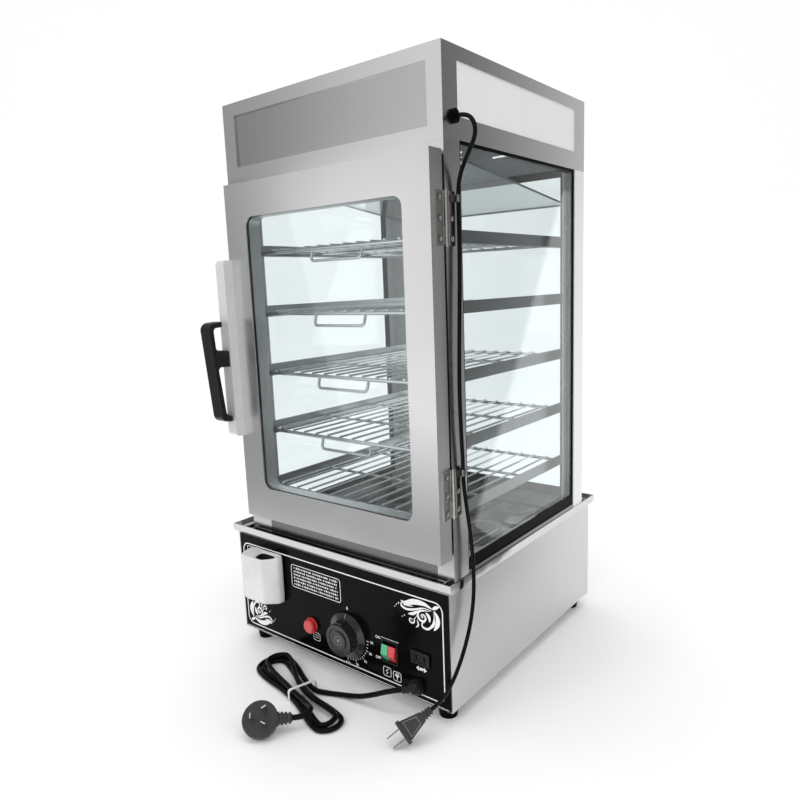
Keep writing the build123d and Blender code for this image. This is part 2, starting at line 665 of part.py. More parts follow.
def condensate_plate():
    """Clear plate under the light box, falling to the back so that drops run to the rear."""
    y0, y1 = POST_T + FIT, CAB_D - POST_T - SEAL_T - GLASS_T - FIT
    z0 = Z_HEAD - 5
    side = Polyline((y0, z0), (y1, z0 - DRIP_FALL), (y1, z0 - DRIP_FALL + DRIP_T),
                    (y0, z0 + DRIP_T), close=True)
    plane = Plane(origin=(IN_L + FIT, 0, 0), x_dir=(0, 1, 0), z_dir=(1, 0, 0))
    return extrude(plane * make_face(side), IN_R - IN_L - 2 * FIT)


# Racks

def rack_zs():
    """Heights of the rack frames' wire centres."""
    return [Z_FLOOR + RACK_FIRST + i * RACK_PITCH for i in range(RACK_COUNT)]


def rail(sx, z):
    """Angle that carries a rack, fixed to the slotted flanges of two posts."""
    x_web = IN_L if sx < 0 else IN_R
    ledge = z - RACK_WIRE_R - FIT
    y0, y1 = POST_T + FIT, CAB_D - POST_T - SEAL_T - GLASS_T - FIT
    xa, xb = sorted((x_web, x_web - sx * RAIL_T))
    body = block(xa, xb, y0, y1, ledge - RAIL_T, ledge - RAIL_T + RAIL_H)
    xa, xb = sorted((x_web, x_web - sx * RAIL_LEDGE))
    return body + block(xa, xb, y0, y1, ledge - RAIL_T, ledge)


def rack(z):
    """Wire rack: a bent frame, cross wires, long wires on top and a hanging grip in front."""
    x0, x1 = IN_L + RAIL_T + 1.0, IN_R - RAIL_T - 1.0
    y0, y1 = POST_T + 8.0, CAB_D - 16.0
    cx, cy = (x0 + x1) / 2, (y0 + y1) / 2
    corner = 14.0
    w, d = x1 - x0 - 2 * RACK_WIRE_R, y1 - y0 - 2 * RACK_WIRE_R
    loop = Pos(cx, cy, z) * RectangleRounded(w, d, corner)
    path = loop.wire()
    start = path @ 0
    plane = Plane(origin=start, z_dir=path % 0)
    body = sweep(plane * Circle(RACK_WIRE_R), path)
    on_top = z + RACK_WIRE_R + GRID_WIRE_R - WELD
    under = on_top - GRID_WIRE_R - CROSS_WIRE_R + WELD
    for i in (1, 2):
        y = y0 + (y1 - y0) * i / 3
        body += rod((cx - w / 2, y, under), (1, 0, 0), CROSS_WIRE_R, w)
    pitch = w / (GRID_COUNT + 1)
    for i in range(GRID_COUNT):
        x = cx - w / 2 + pitch * (i + 1)
        body += rod((x, cy - d / 2 - 1, on_top), (0, 1, 0), GRID_WIRE_R, d + 2)
    return body + rack_grip(cx, cy - d / 2, z)


def rack_grip(x, y, z):
    """U of wire welded under the frame's front."""
    half, ahead = GRIP_W / 2, 4.0
    pts = [(x - half, y, z - 1), (x - half, y - ahead, z - GRIP_DROP),
           (x + half, y - ahead, z - GRIP_DROP), (x + half, y, z - 1)]
    path = FilletPolyline(*pts, radius=6)
    plane = Plane(origin=pts[0], z_dir=path % 0)
    return sweep(plane * Circle(CROSS_WIRE_R), path)


# Door

def door_skin():
    """Folded front of the door with its window."""
    skin = block(DX0, DX1, DY0, DY1, DZ0, DZ1)
    skin -= block(DX0 + DOOR_SKIN, DX1 - DOOR_SKIN, DY0 + DOOR_SKIN, DY1 + 1,
                  DZ0 + DOOR_SKIN, DZ1 - DOOR_SKIN)
    return skin - door_window(DY0 - 1, DY0 + DOOR_SKIN + 1)


def door_window(y0, y1):
    return window(DX0 + WINDOW_LEFT, DX1 - WINDOW_RIGHT, DZ0 + WINDOW_LOW, DZ1 - WINDOW_TOP,
                  WINDOW_R, y0, y1)


def door_glass():
    y0 = DY0 + DOOR_SKIN
    return block(DX0 + WINDOW_LEFT - DOOR_LAP, DX1 - WINDOW_RIGHT + DOOR_LAP, y0, y0 + GLASS_T,
                 DZ0 + WINDOW_LOW - DOOR_LAP, DZ1 - WINDOW_TOP + DOOR_LAP)


def door_inner():
    """Inner frame that closes the door's back and clamps the glass."""
    y0 = DY0 + DOOR_SKIN + GLASS_T
    inner = block(DX0 + DOOR_SKIN, DX1 - DOOR_SKIN, y0, DY1, DZ0 + DOOR_SKIN, DZ1 - DOOR_SKIN)
    return inner - door_window(y0 - 1, DY1 + 1)


def door_seal():
    """Soft ring on the door's back that meets the cabinet's front."""
    a, b = DOOR_SEAL_IN, DOOR_SEAL_IN + DOOR_SEAL_W
    ring = block(DX0 + a, DX1 - a, DY1, -FIT, DZ0 + a, DZ1 - a)
    return ring - block(DX0 + b, DX1 - b, DY1 - 1, 1, DZ0 + b, DZ1 - b)


def handle_strip():
    """Upright bar that wraps the door's free edge and carries the handle."""
    x0 = DX0 - STRIP_OUT
    x1 = x0 + STRIP_W
    z0 = DZ0 + STRIP_LOW
    bar = block(x0, x1, DY0 - STRIP_T, DY0, z0, z0 + STRIP_H)
    bar += block(x0, DX0, DY0 - STRIP_T, DY0 + STRIP_LEG, z0, z0 + STRIP_H)
    ends = bar.edges().filter_by(Axis.X).group_by(Axis.Y)[0]
    return fillet(ends, 6)


def door_handle():
    """Black pull: a long grip on a short middle stem, hooked back at both ends."""
    x1 = DX0 - STRIP_OUT + STRIP_W - 2.5
    root = DY0 - STRIP_T
    z0 = DZ0 + STRIP_LOW + 23
    tall, top_back, foot_back = 145.0, 9.0, 3.0
    grip_t, lean = 10.5, 12.0
    stem_z, stem_h = 80.0, 23.0
    front = GRIP_Y
    outer = [(root - top_back, tall), (front, tall - 2), (front + lean, 2), (root - foot_back, 0)]
    lower = [(root - foot_back, 7.5), (front + lean + grip_t - 3, 12),
             (front + grip_t + 1, stem_z + 1), (root, stem_z)]
    upper = [(root, stem_z + stem_h), (front + grip_t + 1, stem_z + stem_h + 2),
             (front + grip_t - 1, tall - 9), (root - top_back, tall - 8)]
    face = make_face(Polyline(*outer, *lower, *upper, close=True))
    corners = face.vertices()

    def near(y, z):
        return corners.sort_by_distance((y, z, 0))[0]

    face = fillet([near(*outer[1]), near(*outer[2])], 11)
    corners = face.vertices()
    face = fillet([near(*lower[1]), near(*lower[2]), near(*upper[1]), near(*upper[2])], 5)
    plane = Plane(origin=(x1 - HANDLE_W, 0, z0), x_dir=(0, 1, 0), z_dir=(1, 0, 0))
    body = extrude(plane * face, HANDLE_W)
    rim = body.edges().filter_by(lambda e: e.center().Y < front + lean * 0.9)
    rim = rim.filter_by(lambda e: abs(e.tangent_at(0.5).X) < 0.1)
    return fillet(rim, 2.5)


# Hinges

def knuckle_spans(z0):
    """Heights of the three knuckles, from the top down, with gaps between them."""
    spans, top = [], z0 + HINGE_H
    for share in KNUCKLES:
        low = top - share * HINGE_H
        spans.append((low + KNUCKLE_GAP / 2, top - KNUCKLE_GAP / 2))
        top = low
    return spans


def leaf(z0, door):
    """One leaf of a butt hinge, rolled round the pin where its own knuckles are."""
    way = -1 if door else 1
    spans = knuckle_spans(z0)
    own = [spans[0], spans[2]] if door else [spans[1]]
    far = PIN_Y + way * LEAF_W
    near = PIN_Y + way * (KNUCKLE_R + 0.5)
    ya, yb = sorted((near, far))
    body = block(X_R, X_R + LEAF_T, ya, yb, z0, z0 + HINGE_H)
    for low, high in own:
        ya, yb = sorted((PIN_Y, near))
        body += block(X_R, X_R + LEAF_T, ya, yb, low, high)
        body += rod((PIN_X, PIN_Y, low), (0, 0, 1), KNUCKLE_R, high - low)
    for low, high in own:
        body -= rod((PIN_X, PIN_Y, low - 1), (0, 0, 1), PIN_R + RUN, high - low + 2)
    for y, z in leaf_holes(z0, door):
        body -= rod((X_R - 1, y, z), (1, 0, 0), SCREW_R * 0.6, LEAF_T + 2)
    return body


def leaf_holes(z0, door):
    """Three screws in a column."""
    way = -1 if door else 1
    y = PIN_Y + way * LEAF_W * 0.6
    return [(y, z0 + HINGE_H * share) for share in (0.13, 0.5, 0.87)]


def hinge_pins():
    """Pins with a small head, held in the frame leaf's knuckle."""
    return [rod((PIN_X, PIN_Y, z0 - 1), (0, 0, 1), PIN_R, HINGE_H + 2) for z0 in HINGE_ZS]


def hinge_screws(door):
    """Screws of both leaves: a low round head and a shank into the sheet."""
    screws = []
    for z0 in HINGE_ZS:
        for y, z in leaf_holes(z0, door):
            head = rod((X_R + LEAF_T, y, z), (1, 0, 0), SCREW_R, 0.7)
            screws.append(head + rod((X_R, y, z), (1, 0, 0), SCREW_R * 0.55, LEAF_T + 0.3))
    return screws


# Cords

def clip_heights():
    """The clips sit on the uppermost frame screw of each hinge."""
    return [z0 + HINGE_H * 0.87 for z0 in HINGE_ZS]


CLIP_YS = (16.5, 19.5)


def cord_clips():
    """Bands that hold the lamp cord beside the hinges."""
    clips = []
    for z, y in zip(clip_heights(), CLIP_YS):
        z0 = z - CLIP_W / 2
        ring = rod((CLIP_X, y, z0), (0, 0, 1), CLIP_R, CLIP_W)
        foot = X_R + LEAF_T + 0.7
        tab = block(foot, foot + CLIP_T, PIN_Y + LEAF_W * 0.6 - 4, y - 1, z0, z0 + CLIP_W)
        band = ring + tab
        clips.append(band - rod((CLIP_X, y, z0 - 1), (0, 0, 1), CLIP_R - CLIP_T, CLIP_W + 2))
    return clips


def grommet():
    """Rubber bush in the light box's side."""
    z = Z_HEAD + GROMMET_UP
    body = rod((X_R, GROMMET_Y, z), (1, 0, 0), GROMMET_R, 4)
    body += rod((X_R - 4, GROMMET_Y, z), (1, 0, 0), GROMMET_R - 2 - FIT, 4)
    return body


def lamp_cord_route():
    """Out of the light box, down past both clips and over the base's corner to the plug."""
    z = Z_HEAD + GROMMET_UP
    low, up = clip_heights()
    y_low, y_up = CLIP_YS
    route = [(X_R + 4, GROMMET_Y, z), (X_R + 18, GROMMET_Y, z), (X_R + 28, 21.0, z - 10.5),
             (X_R + 28.5, 21.3, z - 25), (X_R + 20, 21.0, z - 40), (X_R + 10, 20.3, z - 58),
             (CLIP_X, y_up, up + 14), (CLIP_X, y_up, up - 14)]
    for out, y, share in ((0.8, 18.6, 0.162), (1.2, 16.2, 0.331), (1.0, 13.0, 0.512),
                          (0.4, 11.8, 0.693), (0.6, 13.2, 0.842)):
        route.append((CLIP_X + out, y, up - (up - low) * share))
    route += [(CLIP_X, y_low, low + 14), (CLIP_X, y_low, low - 14)]
    for out, y, share in ((1.5, 20.0, 0.135), (3.4, 25.5, 0.257), (4.6, 28.0, 0.38),
                          (5.6, 26.0, 0.49), (6.4, 17.0, 0.585), (7.0, 2.5, 0.665),
                          (6.6, -14.0, 0.735), (2.6, -27.0, 0.797)):
        route.append((CLIP_X + out, y, low - low * share))
    return route + [tuple(LAMP_PLUG_BACK - LAMP_PLUG_DIR * 16), tuple(LAMP_PLUG_BACK)]


def power_cord_route():
    """From the gland down to the table and along it to the hank."""
    start, waist = hank_points()[:2]
    level = Vector(start.X - waist.X, start.Y - waist.Y, 0).normalized()
    tip = gland_exit()
    return [tuple(tip), tuple(tip + GLAND_DIR * 20), (84.0, -38.5, 20.0), (57.0, -43.0, 9.0),
            tuple(start + level * 14), tuple(start)]


def plug_tail_route():
    """From the hank's tie, over its right lobe's near side, to the plug's strain relief."""
    end, before = hank_points()[-1], hank_points()[-2]
    back = power_plug_back()
    return [tuple(end), tuple(end + (end - before).normalized() * 13), (26.0, -102.5, 15.5),
            (36.5, -109.0, 19.5), tuple(back + PLUG_EXIT * 16), tuple(back)]


def cord_path(points):
    """Straight runs joined by arcs as large as the runs allow, and those arcs' radii."""
    pts = [Vector(*p) for p in points]
    radii = []
    for a, b, c in zip(pts, pts[1:], pts[2:]):
        turn = (b - a).get_angle(c - b)
        run = min((b - a).length, (c - b).length)
        radii.append(0.45 * run / math.tan(math.radians(turn / 2)))
    return FilletPolyline(*pts, radius=radii), radii


def tube(points, diameter, name, tight=3.0):
    """Round cord along a route."""
    path, radii = cord_path(points)
    first = Vector(*points[0])
    along = Vector(*points[1]) - first
    solid = sweep(Plane(origin=first, z_dir=along) * Circle(diameter / 2), path)
    section = math.pi * diameter ** 2 / 4
    print(f"{name}: length {path.length:.0f}, least radius {min(radii):.1f},"
          f" volume / (section x length) {solid.volume / section / path.length:.4f}")
    if min(radii) < tight * diameter:
        print(f"{name}: tightest bend is under {tight} diameters")
    return solid


def hank_at(u, v, height):
    """A place in the hank: along it, across it and above the table."""
    side = Vector(-HANK_AXIS.Y, HANK_AXIS.X, 0)
    return Vector(*HANK_CENTRE, height) + HANK_AXIS * u + side * v


def hank_points():
    """Corners of the hank: it winds in on the table, climbs in its inmost lobe, winds out."""
    level = [CORD_D / 2 + layer * HANK_PITCH for layer in HANK_LAYERS]
    waist = [v * HANK_PITCH for v in HANK_WAIST]
    pts = [hank_at(20, waist[0] + 18, level[0])]
    for i in range(len(waist) - 1):
        way = -1 if i % 2 == 0 else 1
        distance, inmost = HANK_LEFT if way < 0 else HANK_RIGHT
        shift = HANK_FAN * HANK_LAYERS[i] if way < 0 else HANK_BEND
        pts.append(hank_at(0, waist[i], level[i] + HANK_LIFT))
        side = 1 if i % 2 == 0 else -1
        r = inmost + abs(waist[i] - waist[i + 1]) / 2
        splay = math.asin(inmost / distance)
        step = (math.pi + 2 * splay) / LOBE_CORNERS
        reach = r / math.cos(step / 2)
        for k in range(LOBE_CORNERS):
            angle = math.pi / 2 + splay - step * (k + 0.5)
            u = way * (distance + reach * math.cos(angle))
            v = (waist[i] + waist[i + 1]) / 2 + shift + side * reach * math.sin(angle)
            rise = (level[i + 1] - level[i]) * (k + 0.5) / LOBE_CORNERS
            pts.append(hank_at(u, v, level[i] + rise))
    high = level[-1] + HANK_LIFT
    return pts + [hank_at(0, waist[-1], high), hank_at(16, waist[-1] + 1, high)]


def hank_samples(spacing=3.0):
    """Points along the hank's middle line, with the space between them."""
    path = cord_path([tuple(p) for p in hank_points()])[0]
    count = round(path.length / spacing)
    return [path.position_at(i / count) for i in range(count + 1)], path.length / count


def least_gap():
    """Print the least space between two strands of the hank, measured on points."""
    pts, spacing = hank_samples()
    apart = round(3 * CORD_D / spacing)
    gap = min((pts[i] - pts[j]).length for i in range(len(pts)) for j in range(i + apart, len(pts)))
    print(f"hank: least gap between strands {gap - CORD_D:.2f}")


def cord_tie():
    """White tie round the hank's waist."""
    side = Vector(-HANK_AXIS.Y, HANK_AXIS.X, 0)
    across, heights = [], []
    for p in hank_samples()[0]:
        place = p - Vector(*HANK_CENTRE, 0)
        if abs(place.dot(HANK_AXIS)) < TIE_W:
            across.append(place.dot(side))
            heights.append(p.Z)
    width = max(across) - min(across) + CORD_D + 2 * FIT
    height = max(heights) - min(heights) + CORD_D + 2 * FIT
    middle, level = (max(across) + min(across)) / 2, (max(heights) + min(heights)) / 2
    plane = Plane(origin=hank_at(-TIE_W / 2, middle, level), x_dir=side, z_dir=HANK_AXIS)
    r = CORD_D / 2 + FIT
    band = RectangleRounded(width + 2 * TIE_T, height + 2 * TIE_T, r + TIE_T)
    return extrude(plane * band, TIE_W) - extrude(plane * RectangleRounded(width, height, r), TIE_W)


def power_plug_plane():
    """Pin face of the three-pin plug: x towards its cord, z out along the pins."""
    lean = math.radians(PLUG_LEAN)
    out = Vector(PLUG_EXIT.Y * math.cos(lean), -PLUG_EXIT.X * math.cos(lean), math.sin(lean))
    height = PLUG_R * PLUG_BACK * math.cos(lean) + PLUG_T * math.sin(lean) + 0.2
    return Plane(origin=(*PLUG_AT, height), x_dir=PLUG_EXIT, z_dir=out)


def power_plug_back():
    """End of the plug's strain relief, where the cord goes in."""
    plane = power_plug_plane()
    return plane.origin + PLUG_EXIT * (PLUG_R + RELIEF_L) - plane.z_dir * (PLUG_T / 2)


def ribbed_relief(plane, length, r_wide, r_thin, ribs):
    """Tapered strain relief with raised rings, along the plane's z."""
    body = plane * loft([Circle(r_wide), Pos(0, 0, length) * Circle(r_thin)])
    step = length / ribs
    for i in range(ribs):
        z = step * (i + 0.2)
        r = r_wide + (r_thin - r_wide) * z / length
        body += plane * Pos(0, 0, z) * extrude(Circle(r + 1.4), step * 0.5)
    return body


def power_plug():
    """Round three-pin plug leaning on the table, its cord leaving sideways."""
    plane = power_plug_plane()
    side = Polyline((0, 0), (PLUG_R - 1.5, 0), (PLUG_R, -1.5), (PLUG_R, -PLUG_T * 0.55),
                    (PLUG_R * PLUG_BACK, -PLUG_T), (0, -PLUG_T), close=True)
    body = plane * revolve(Plane.XZ * make_face(side), Axis.Z)
    start = plane.origin + PLUG_EXIT * (PLUG_R - 3) - plane.z_dir * (PLUG_T / 2)
    body += ribbed_relief(Plane(origin=start, z_dir=PLUG_EXIT), RELIEF_L + 3, 7.2, 5.0, 4)
    return body


def power_plug_pins():
    """Earth blade away from the cord and two slanted blades beside it."""
    plane = power_plug_plane()
    pins = []
    for x, y, turn in ((-9.6, 0, 90), (6.5, 9.2, 30), (6.5, -9.2, -30)):
        pins.append(plane * Pos(x, y, 0) * Rot(0, 0, turn) * Pos(0, 0, PIN_L / 2)
                    * Box(6.4, 1.5, PIN_L))
    return pins


def lamp_plug_plane():
    """Cord end of the two-pin plug: z along its body, x across its flat."""
    across = LAMP_PLUG_DIR.cross(Vector(0, 0, 1)).normalized()
    lift = across.cross(LAMP_PLUG_DIR).normalized()
    roll = math.radians(LAMP_PLUG_ROLL)
    return Plane(origin=LAMP_PLUG_BACK, z_dir=LAMP_PLUG_DIR,
                 x_dir=across * math.cos(roll) + lift * math.sin(roll))


def lamp_plug():
    """Flat plug: ribbed relief, a body that widens to its face, and a thin flange."""
    plane, face = lamp_plug_plane(), LAMP_PLUG_NECK + LAMP_PLUG_BODY
    plug = ribbed_relief(plane, LAMP_PLUG_NECK, 3.6, 5.2, 4)
    plug += plane * loft([Pos(0, 0, LAMP_PLUG_NECK - 2) * RectangleRounded(13, 10, 3),
                          Pos(0, 0, face) * RectangleRounded(26, 14, 3)])
    return plug + plane * Pos(0, 0, face) * extrude(RectangleRounded(30, 17, 3), LAMP_PLUG_FLANGE)


def lamp_plug_blades():
    """Two flat blades side by side."""
    plane = lamp_plug_plane()
    start = LAMP_PLUG_NECK + LAMP_PLUG_BODY + LAMP_PLUG_FLANGE
    return [plane * Pos(side * 6.35, 0, start + PIN_L / 2) * Box(1.5, 6.3, PIN_L)
            for side in (-1, 1)]


if __name__ == "__main__":
    save("base_shell", base_shell())
    save("base_plate", base_plate())
    save("feet", *feet())
    save("control_panel", control_panel())
    save("drip_tray", drip_tray())
    save("drip_gutter", drip_gutter())
    save("water_pan", water_pan())
    save("heating_element", heating_element())
    save("thermostat", thermostat())
    save("thermostat_knob", thermostat_knob())
    save("indicator_lamp", indicator_lamp())
    save("switch_housing", switch_housing())
    (green_x, green_z), (red_x, red_z) = rocker_centres()
    save("green_rocker", rocker(green_x, green_z))
    save("red_rocker", rocker(red_x, red_z))
    save("outlet", outlet())
    save("filler_cup", filler_cup())
    save("power_gland", power_gland())
    save("front_left_post", post(-1, POST_LEFT, False))
    save("front_right_post", post(1, POST_RIGHT, False))
    save("rear_left_post", post(-1, POST_LEFT, True))
    save("rear_right_post", post(1, POST_RIGHT, True))
    save("sill_rails", *sill_rails())
    save("header_shell", header_shell())
    save("header_sign", header_sign())
    save("header_lights", *header_lights())
    save("header_lamp", header_lamp())
    save("side_glass", *side_glass())
    save("back_glass", back_glass())
    save("pane_seals", *pane_seals())
    save("condensate_plate", condensate_plate())
    save("left_rack_rails", *[rail(-1, z) for z in rack_zs()])
    save("right_rack_rails", *[rail(1, z) for z in rack_zs()])
    first = rack(rack_zs()[0])
    for i in range(RACK_COUNT):
        save(f"rack_{i + 1}", Pos(0, 0, i * RACK_PITCH) * first)
    save("door_skin", door_skin())
    save("door_glass", door_glass())
    save("door_inner", door_inner())
    save("door_seal", door_seal())
    save("handle_strip", handle_strip())
    save("door_handle", door_handle())
    save("hinge_frame_leaves", *[leaf(z0, False) for z0 in HINGE_ZS])
    save("hinge_door_leaves", *[leaf(z0, True) for z0 in HINGE_ZS])
    save("hinge_pins", *hinge_pins())
    save("hinge_frame_screws", *hinge_screws(False))
    save("hinge_door_screws", *hinge_screws(True))
    save("cord_clips", *cord_clips())
    save("grommet", grommet())
    save("lamp_cord", tube(lamp_cord_route(), LAMP_CORD_D, "lamp cord"))
    save("power_cord", tube(power_cord_route(), CORD_D, "power cord"))
    save("cord_hank", tube(hank_points(), CORD_D, "hank"))
    least_gap()
    save("cord_tie", cord_tie())
    save("plug_tail", tube(plug_tail_route(), CORD_D, "plug tail"))
    save("power_plug", power_plug())
    save("power_plug_pins", *power_plug_pins())
    save("lamp_plug", lamp_plug())
    save("lamp_plug_blades", *lamp_plug_blades())
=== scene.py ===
# Looks of the glass bun steamer cabinet, in metres, in the CAD model's own frame.
# Places are written in millimetres from the cabinet's front middle and the table, and at()
# turns them into metres: x to the viewer's right, y into the cabinet, z up.

import bpy
import bmesh
import math
from mathutils import Matrix, Vector


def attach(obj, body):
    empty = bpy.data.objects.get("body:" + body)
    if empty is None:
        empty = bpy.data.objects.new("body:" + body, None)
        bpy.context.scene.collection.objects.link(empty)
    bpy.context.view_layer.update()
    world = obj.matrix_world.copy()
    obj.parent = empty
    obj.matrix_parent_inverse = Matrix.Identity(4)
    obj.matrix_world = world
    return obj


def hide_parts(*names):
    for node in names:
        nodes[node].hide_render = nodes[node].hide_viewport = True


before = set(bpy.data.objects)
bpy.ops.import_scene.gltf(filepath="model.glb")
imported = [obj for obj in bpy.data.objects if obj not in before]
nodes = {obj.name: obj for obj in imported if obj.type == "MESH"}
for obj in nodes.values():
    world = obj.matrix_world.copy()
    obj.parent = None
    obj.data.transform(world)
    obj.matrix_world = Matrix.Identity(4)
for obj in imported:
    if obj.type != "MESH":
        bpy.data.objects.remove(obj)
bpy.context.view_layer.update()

SHIFT_X, SHIFT_Y = 14.35, -172.9   # to the CAD model's origin, the middle of the footprint
PANEL_Y = -14.7                    # panel's face


def at(x, y, z):
    """A place in metres, from millimetres on the machine."""
    return Vector(((x + SHIFT_X) / 1000, (y + SHIFT_Y) / 1000, z / 1000))


def link(obj):
    """Put an object in the scene."""
    bpy.context.scene.collection.objects.link(obj)
    return obj


# Camera

CAMERA_LENS, CAMERA_SENSOR = 30.45, 36.0
CAMERA_PLACE = (0.65025, -0.8192, 0.5523)
CAMERA_AHEAD = (-0.61902, 0.76764, -0.16598)
CAMERA_ROLL = 2.2
CAMERA_REACH = 50.0


def make_camera():
    """Stands to the right of the machine, a little above its middle."""
    data = bpy.data.cameras.new("camera")
    data.lens = CAMERA_LENS
    data.sensor_width = CAMERA_SENSOR
    data.clip_end = CAMERA_REACH
    ahead = Vector(CAMERA_AHEAD).normalized()
    right = ahead.cross(Vector((0, 0, 1))).normalized()
    up = right.cross(ahead)
    roll = Matrix.Rotation(math.radians(CAMERA_ROLL), 3, ahead)
    right, up = roll @ right, roll @ up
    turn = Matrix((right, up, -ahead)).transposed().to_4x4()
    camera = link(bpy.data.objects.new("camera", data))
    camera.matrix_world = Matrix.Translation(CAMERA_PLACE) @ turn
    bpy.context.scene.camera = camera


# Cords

CORD_D = 7.0
LAMP_CORD_D = 5.0
HANK_CENTRE = (-16.0, -78.0)
HANK_AXIS = Vector((0.954, -0.30, 0)).normalized()
HANK_SIDE = Vector((-HANK_AXIS.y, HANK_AXIS.x, 0))
HANK_LEFT = (84.0, 15.0)
HANK_RIGHT = (70.0, 13.0)
HANK_BEND = 4.0
HANK_FAN = 14.0
HANK_PITCH = CORD_D + 0.8
HANK_LIFT = 1.9
HANK_WAIST = (1.75, -1.5, 0.5, -0.5, -0.5, -1.5)
HANK_LAYERS = (0, 0, 0, 0, 1, 1)
LOBE_CORNERS = 4


def hank_at(u, v, height):
    """A place in the hank, in millimetres: along it, across it and above the table."""
    return Vector((*HANK_CENTRE, height)) + HANK_AXIS * u + HANK_SIDE * v


def hank_points():
    """Control points of the hank, as in the part's source."""
    level = [CORD_D / 2 + layer * HANK_PITCH for layer in HANK_LAYERS]
    waist = [v * HANK_PITCH for v in HANK_WAIST]
    pts = [hank_at(20, waist[0] + 18, level[0])]
    for i in range(len(waist) - 1):
        way = -1 if i % 2 == 0 else 1
        distance, inmost = HANK_LEFT if way < 0 else HANK_RIGHT
        shift = HANK_FAN * HANK_LAYERS[i] if way < 0 else HANK_BEND
        pts.append(hank_at(0, waist[i], level[i] + HANK_LIFT))
        side = 1 if i % 2 == 0 else -1
        r = inmost + abs(waist[i] - waist[i + 1]) / 2
        splay = math.asin(inmost / distance)
        step = (math.pi + 2 * splay) / LOBE_CORNERS
        reach = r / math.cos(step / 2)
        for k in range(LOBE_CORNERS):
            angle = math.pi / 2 + splay - step * (k + 0.5)
            u = way * (distance + reach * math.cos(angle))
            v = (waist[i] + waist[i + 1]) / 2 + shift + side * reach * math.sin(angle)
            rise = (level[i + 1] - level[i]) * (k + 0.5) / LOBE_CORNERS
            pts.append(hank_at(u, v, level[i] + rise))
    high = level[-1] + HANK_LIFT
    return pts + [hank_at(0, waist[-1], high), hank_at(16, waist[-1] + 1, high)]


def cord_curve(name, places, diameter):
    """Round cord on a smooth line with these control points, in millimetres."""
    data = bpy.data.curves.new(name, "CURVE")
    data.dimensions = "3D"
    data.bevel_depth = diameter / 2000
    data.bevel_resolution = 5
    data.resolution_u = 10
    data.use_fill_caps = True
    spline = data.splines.new("NURBS")
    spline.points.add(len(places) - 1)
    for point, place in zip(spline.points, places):
        point.co = (*at(*place), 1.0)
    spline.order_u = 3
    spline.use_endpoint_u = True
    return link(bpy.data.objects.new(name, data))


LAMP_EXIT = (194.0, 20.7, 737.5)   # bush in the light box's side
CLIP_X = 195.3
CLIP_LOW, CLIP_UP = 327.1, 647.6
CLIP_HALF = 14                     # straight run on both sides of a clip
LAMP_PLUG_BACK = Vector((180.0, -43.0, 38.5))
LAMP_PLUG_DIR = Vector((-0.469, -0.73, -0.499)).normalized()
LAMP_PLUG_ROLL = 52.0
GLAND_DIR = Vector((-0.87, -0.45, -0.2)).normalized()
GLAND_TIP = Vector((138.0, -20.7, 39.9)) + GLAND_DIR * 17
PLUG_AT = (2.5, -165.5)
PLUG_EXIT = Vector((0.73, 0.68, 0)).normalized()
PLUG_LEAN = math.radians(48.0)
PLUG_R, PLUG_T, PLUG_BACK, RELIEF_L = 22.5, 16.0, 0.8, 17.0


def lamp_route():
    """From the light box's bush, past both clips and over the base's corner, to the plug."""
    x, y, z = LAMP_EXIT
    low, up = CLIP_LOW, CLIP_UP
    route = [(x, y, z), (x + 14, y, z), (x + 24, 21.0, z - 10.5), (x + 24.5, 21.3, z - 25),
             (x + 16, 21.0, z - 40), (x + 6, 20.3, z - 58), (CLIP_X, 19.5, up + CLIP_HALF),
             (CLIP_X, 19.5, up - CLIP_HALF)]
    for out, y, share in ((0.8, 18.6, 0.162), (1.2, 16.2, 0.331), (1.0, 13.0, 0.512),
                          (0.4, 11.8, 0.693), (0.6, 13.2, 0.842)):
        route.append((CLIP_X + out, y, up - (up - low) * share))
    route += [(CLIP_X, 16.5, low + CLIP_HALF), (CLIP_X, 16.5, low - CLIP_HALF)]
    for out, y, share in ((1.5, 20.0, 0.135), (3.4, 25.5, 0.257), (4.6, 28.0, 0.38),
                          (5.6, 26.0, 0.49), (6.4, 17.0, 0.585), (7.0, 2.5, 0.665),
                          (6.6, -14.0, 0.735), (2.6, -27.0, 0.797)):
        route.append((CLIP_X + out, y, low - low * share))
    return route + [tuple(LAMP_PLUG_BACK - LAMP_PLUG_DIR * 16), tuple(LAMP_PLUG_BACK)]


def power_plug_axes():
    """Centre of the three-pin plug's face, and the way its pins point."""
    out = Vector((PLUG_EXIT.y * math.cos(PLUG_LEAN), -PLUG_EXIT.x * math.cos(PLUG_LEAN),
                  math.sin(PLUG_LEAN)))
    height = PLUG_R * PLUG_BACK * math.cos(PLUG_LEAN) + PLUG_T * math.sin(PLUG_LEAN) + 0.2
    return Vector((*PLUG_AT, height)), out


def power_route():
    """From the gland to the hank, through it, and over its near side to the plug."""
    hank = hank_points()
    level = Vector((hank[0].x - hank[1].x, hank[0].y - hank[1].y, 0)).normalized()
    gland = [GLAND_TIP, GLAND_TIP + GLAND_DIR * 20, (84.0, -38.5, 20.0), (57.0, -43.0, 9.0)]
    face, out = power_plug_axes()
    back = face + PLUG_EXIT * (PLUG_R + RELIEF_L) - out * (PLUG_T / 2)
    tail = [hank[-1] + (hank[-1] - hank[-2]).normalized() * 13, (26.0, -102.5, 15.5),
            (36.5, -109.0, 19.5), back + PLUG_EXIT * 16, back]
    return [tuple(p) for p in gland + [hank[0] + level * 14] + hank + tail]


# Materials

EDGE_R = 0.0006      # soft edge on moulded plastic


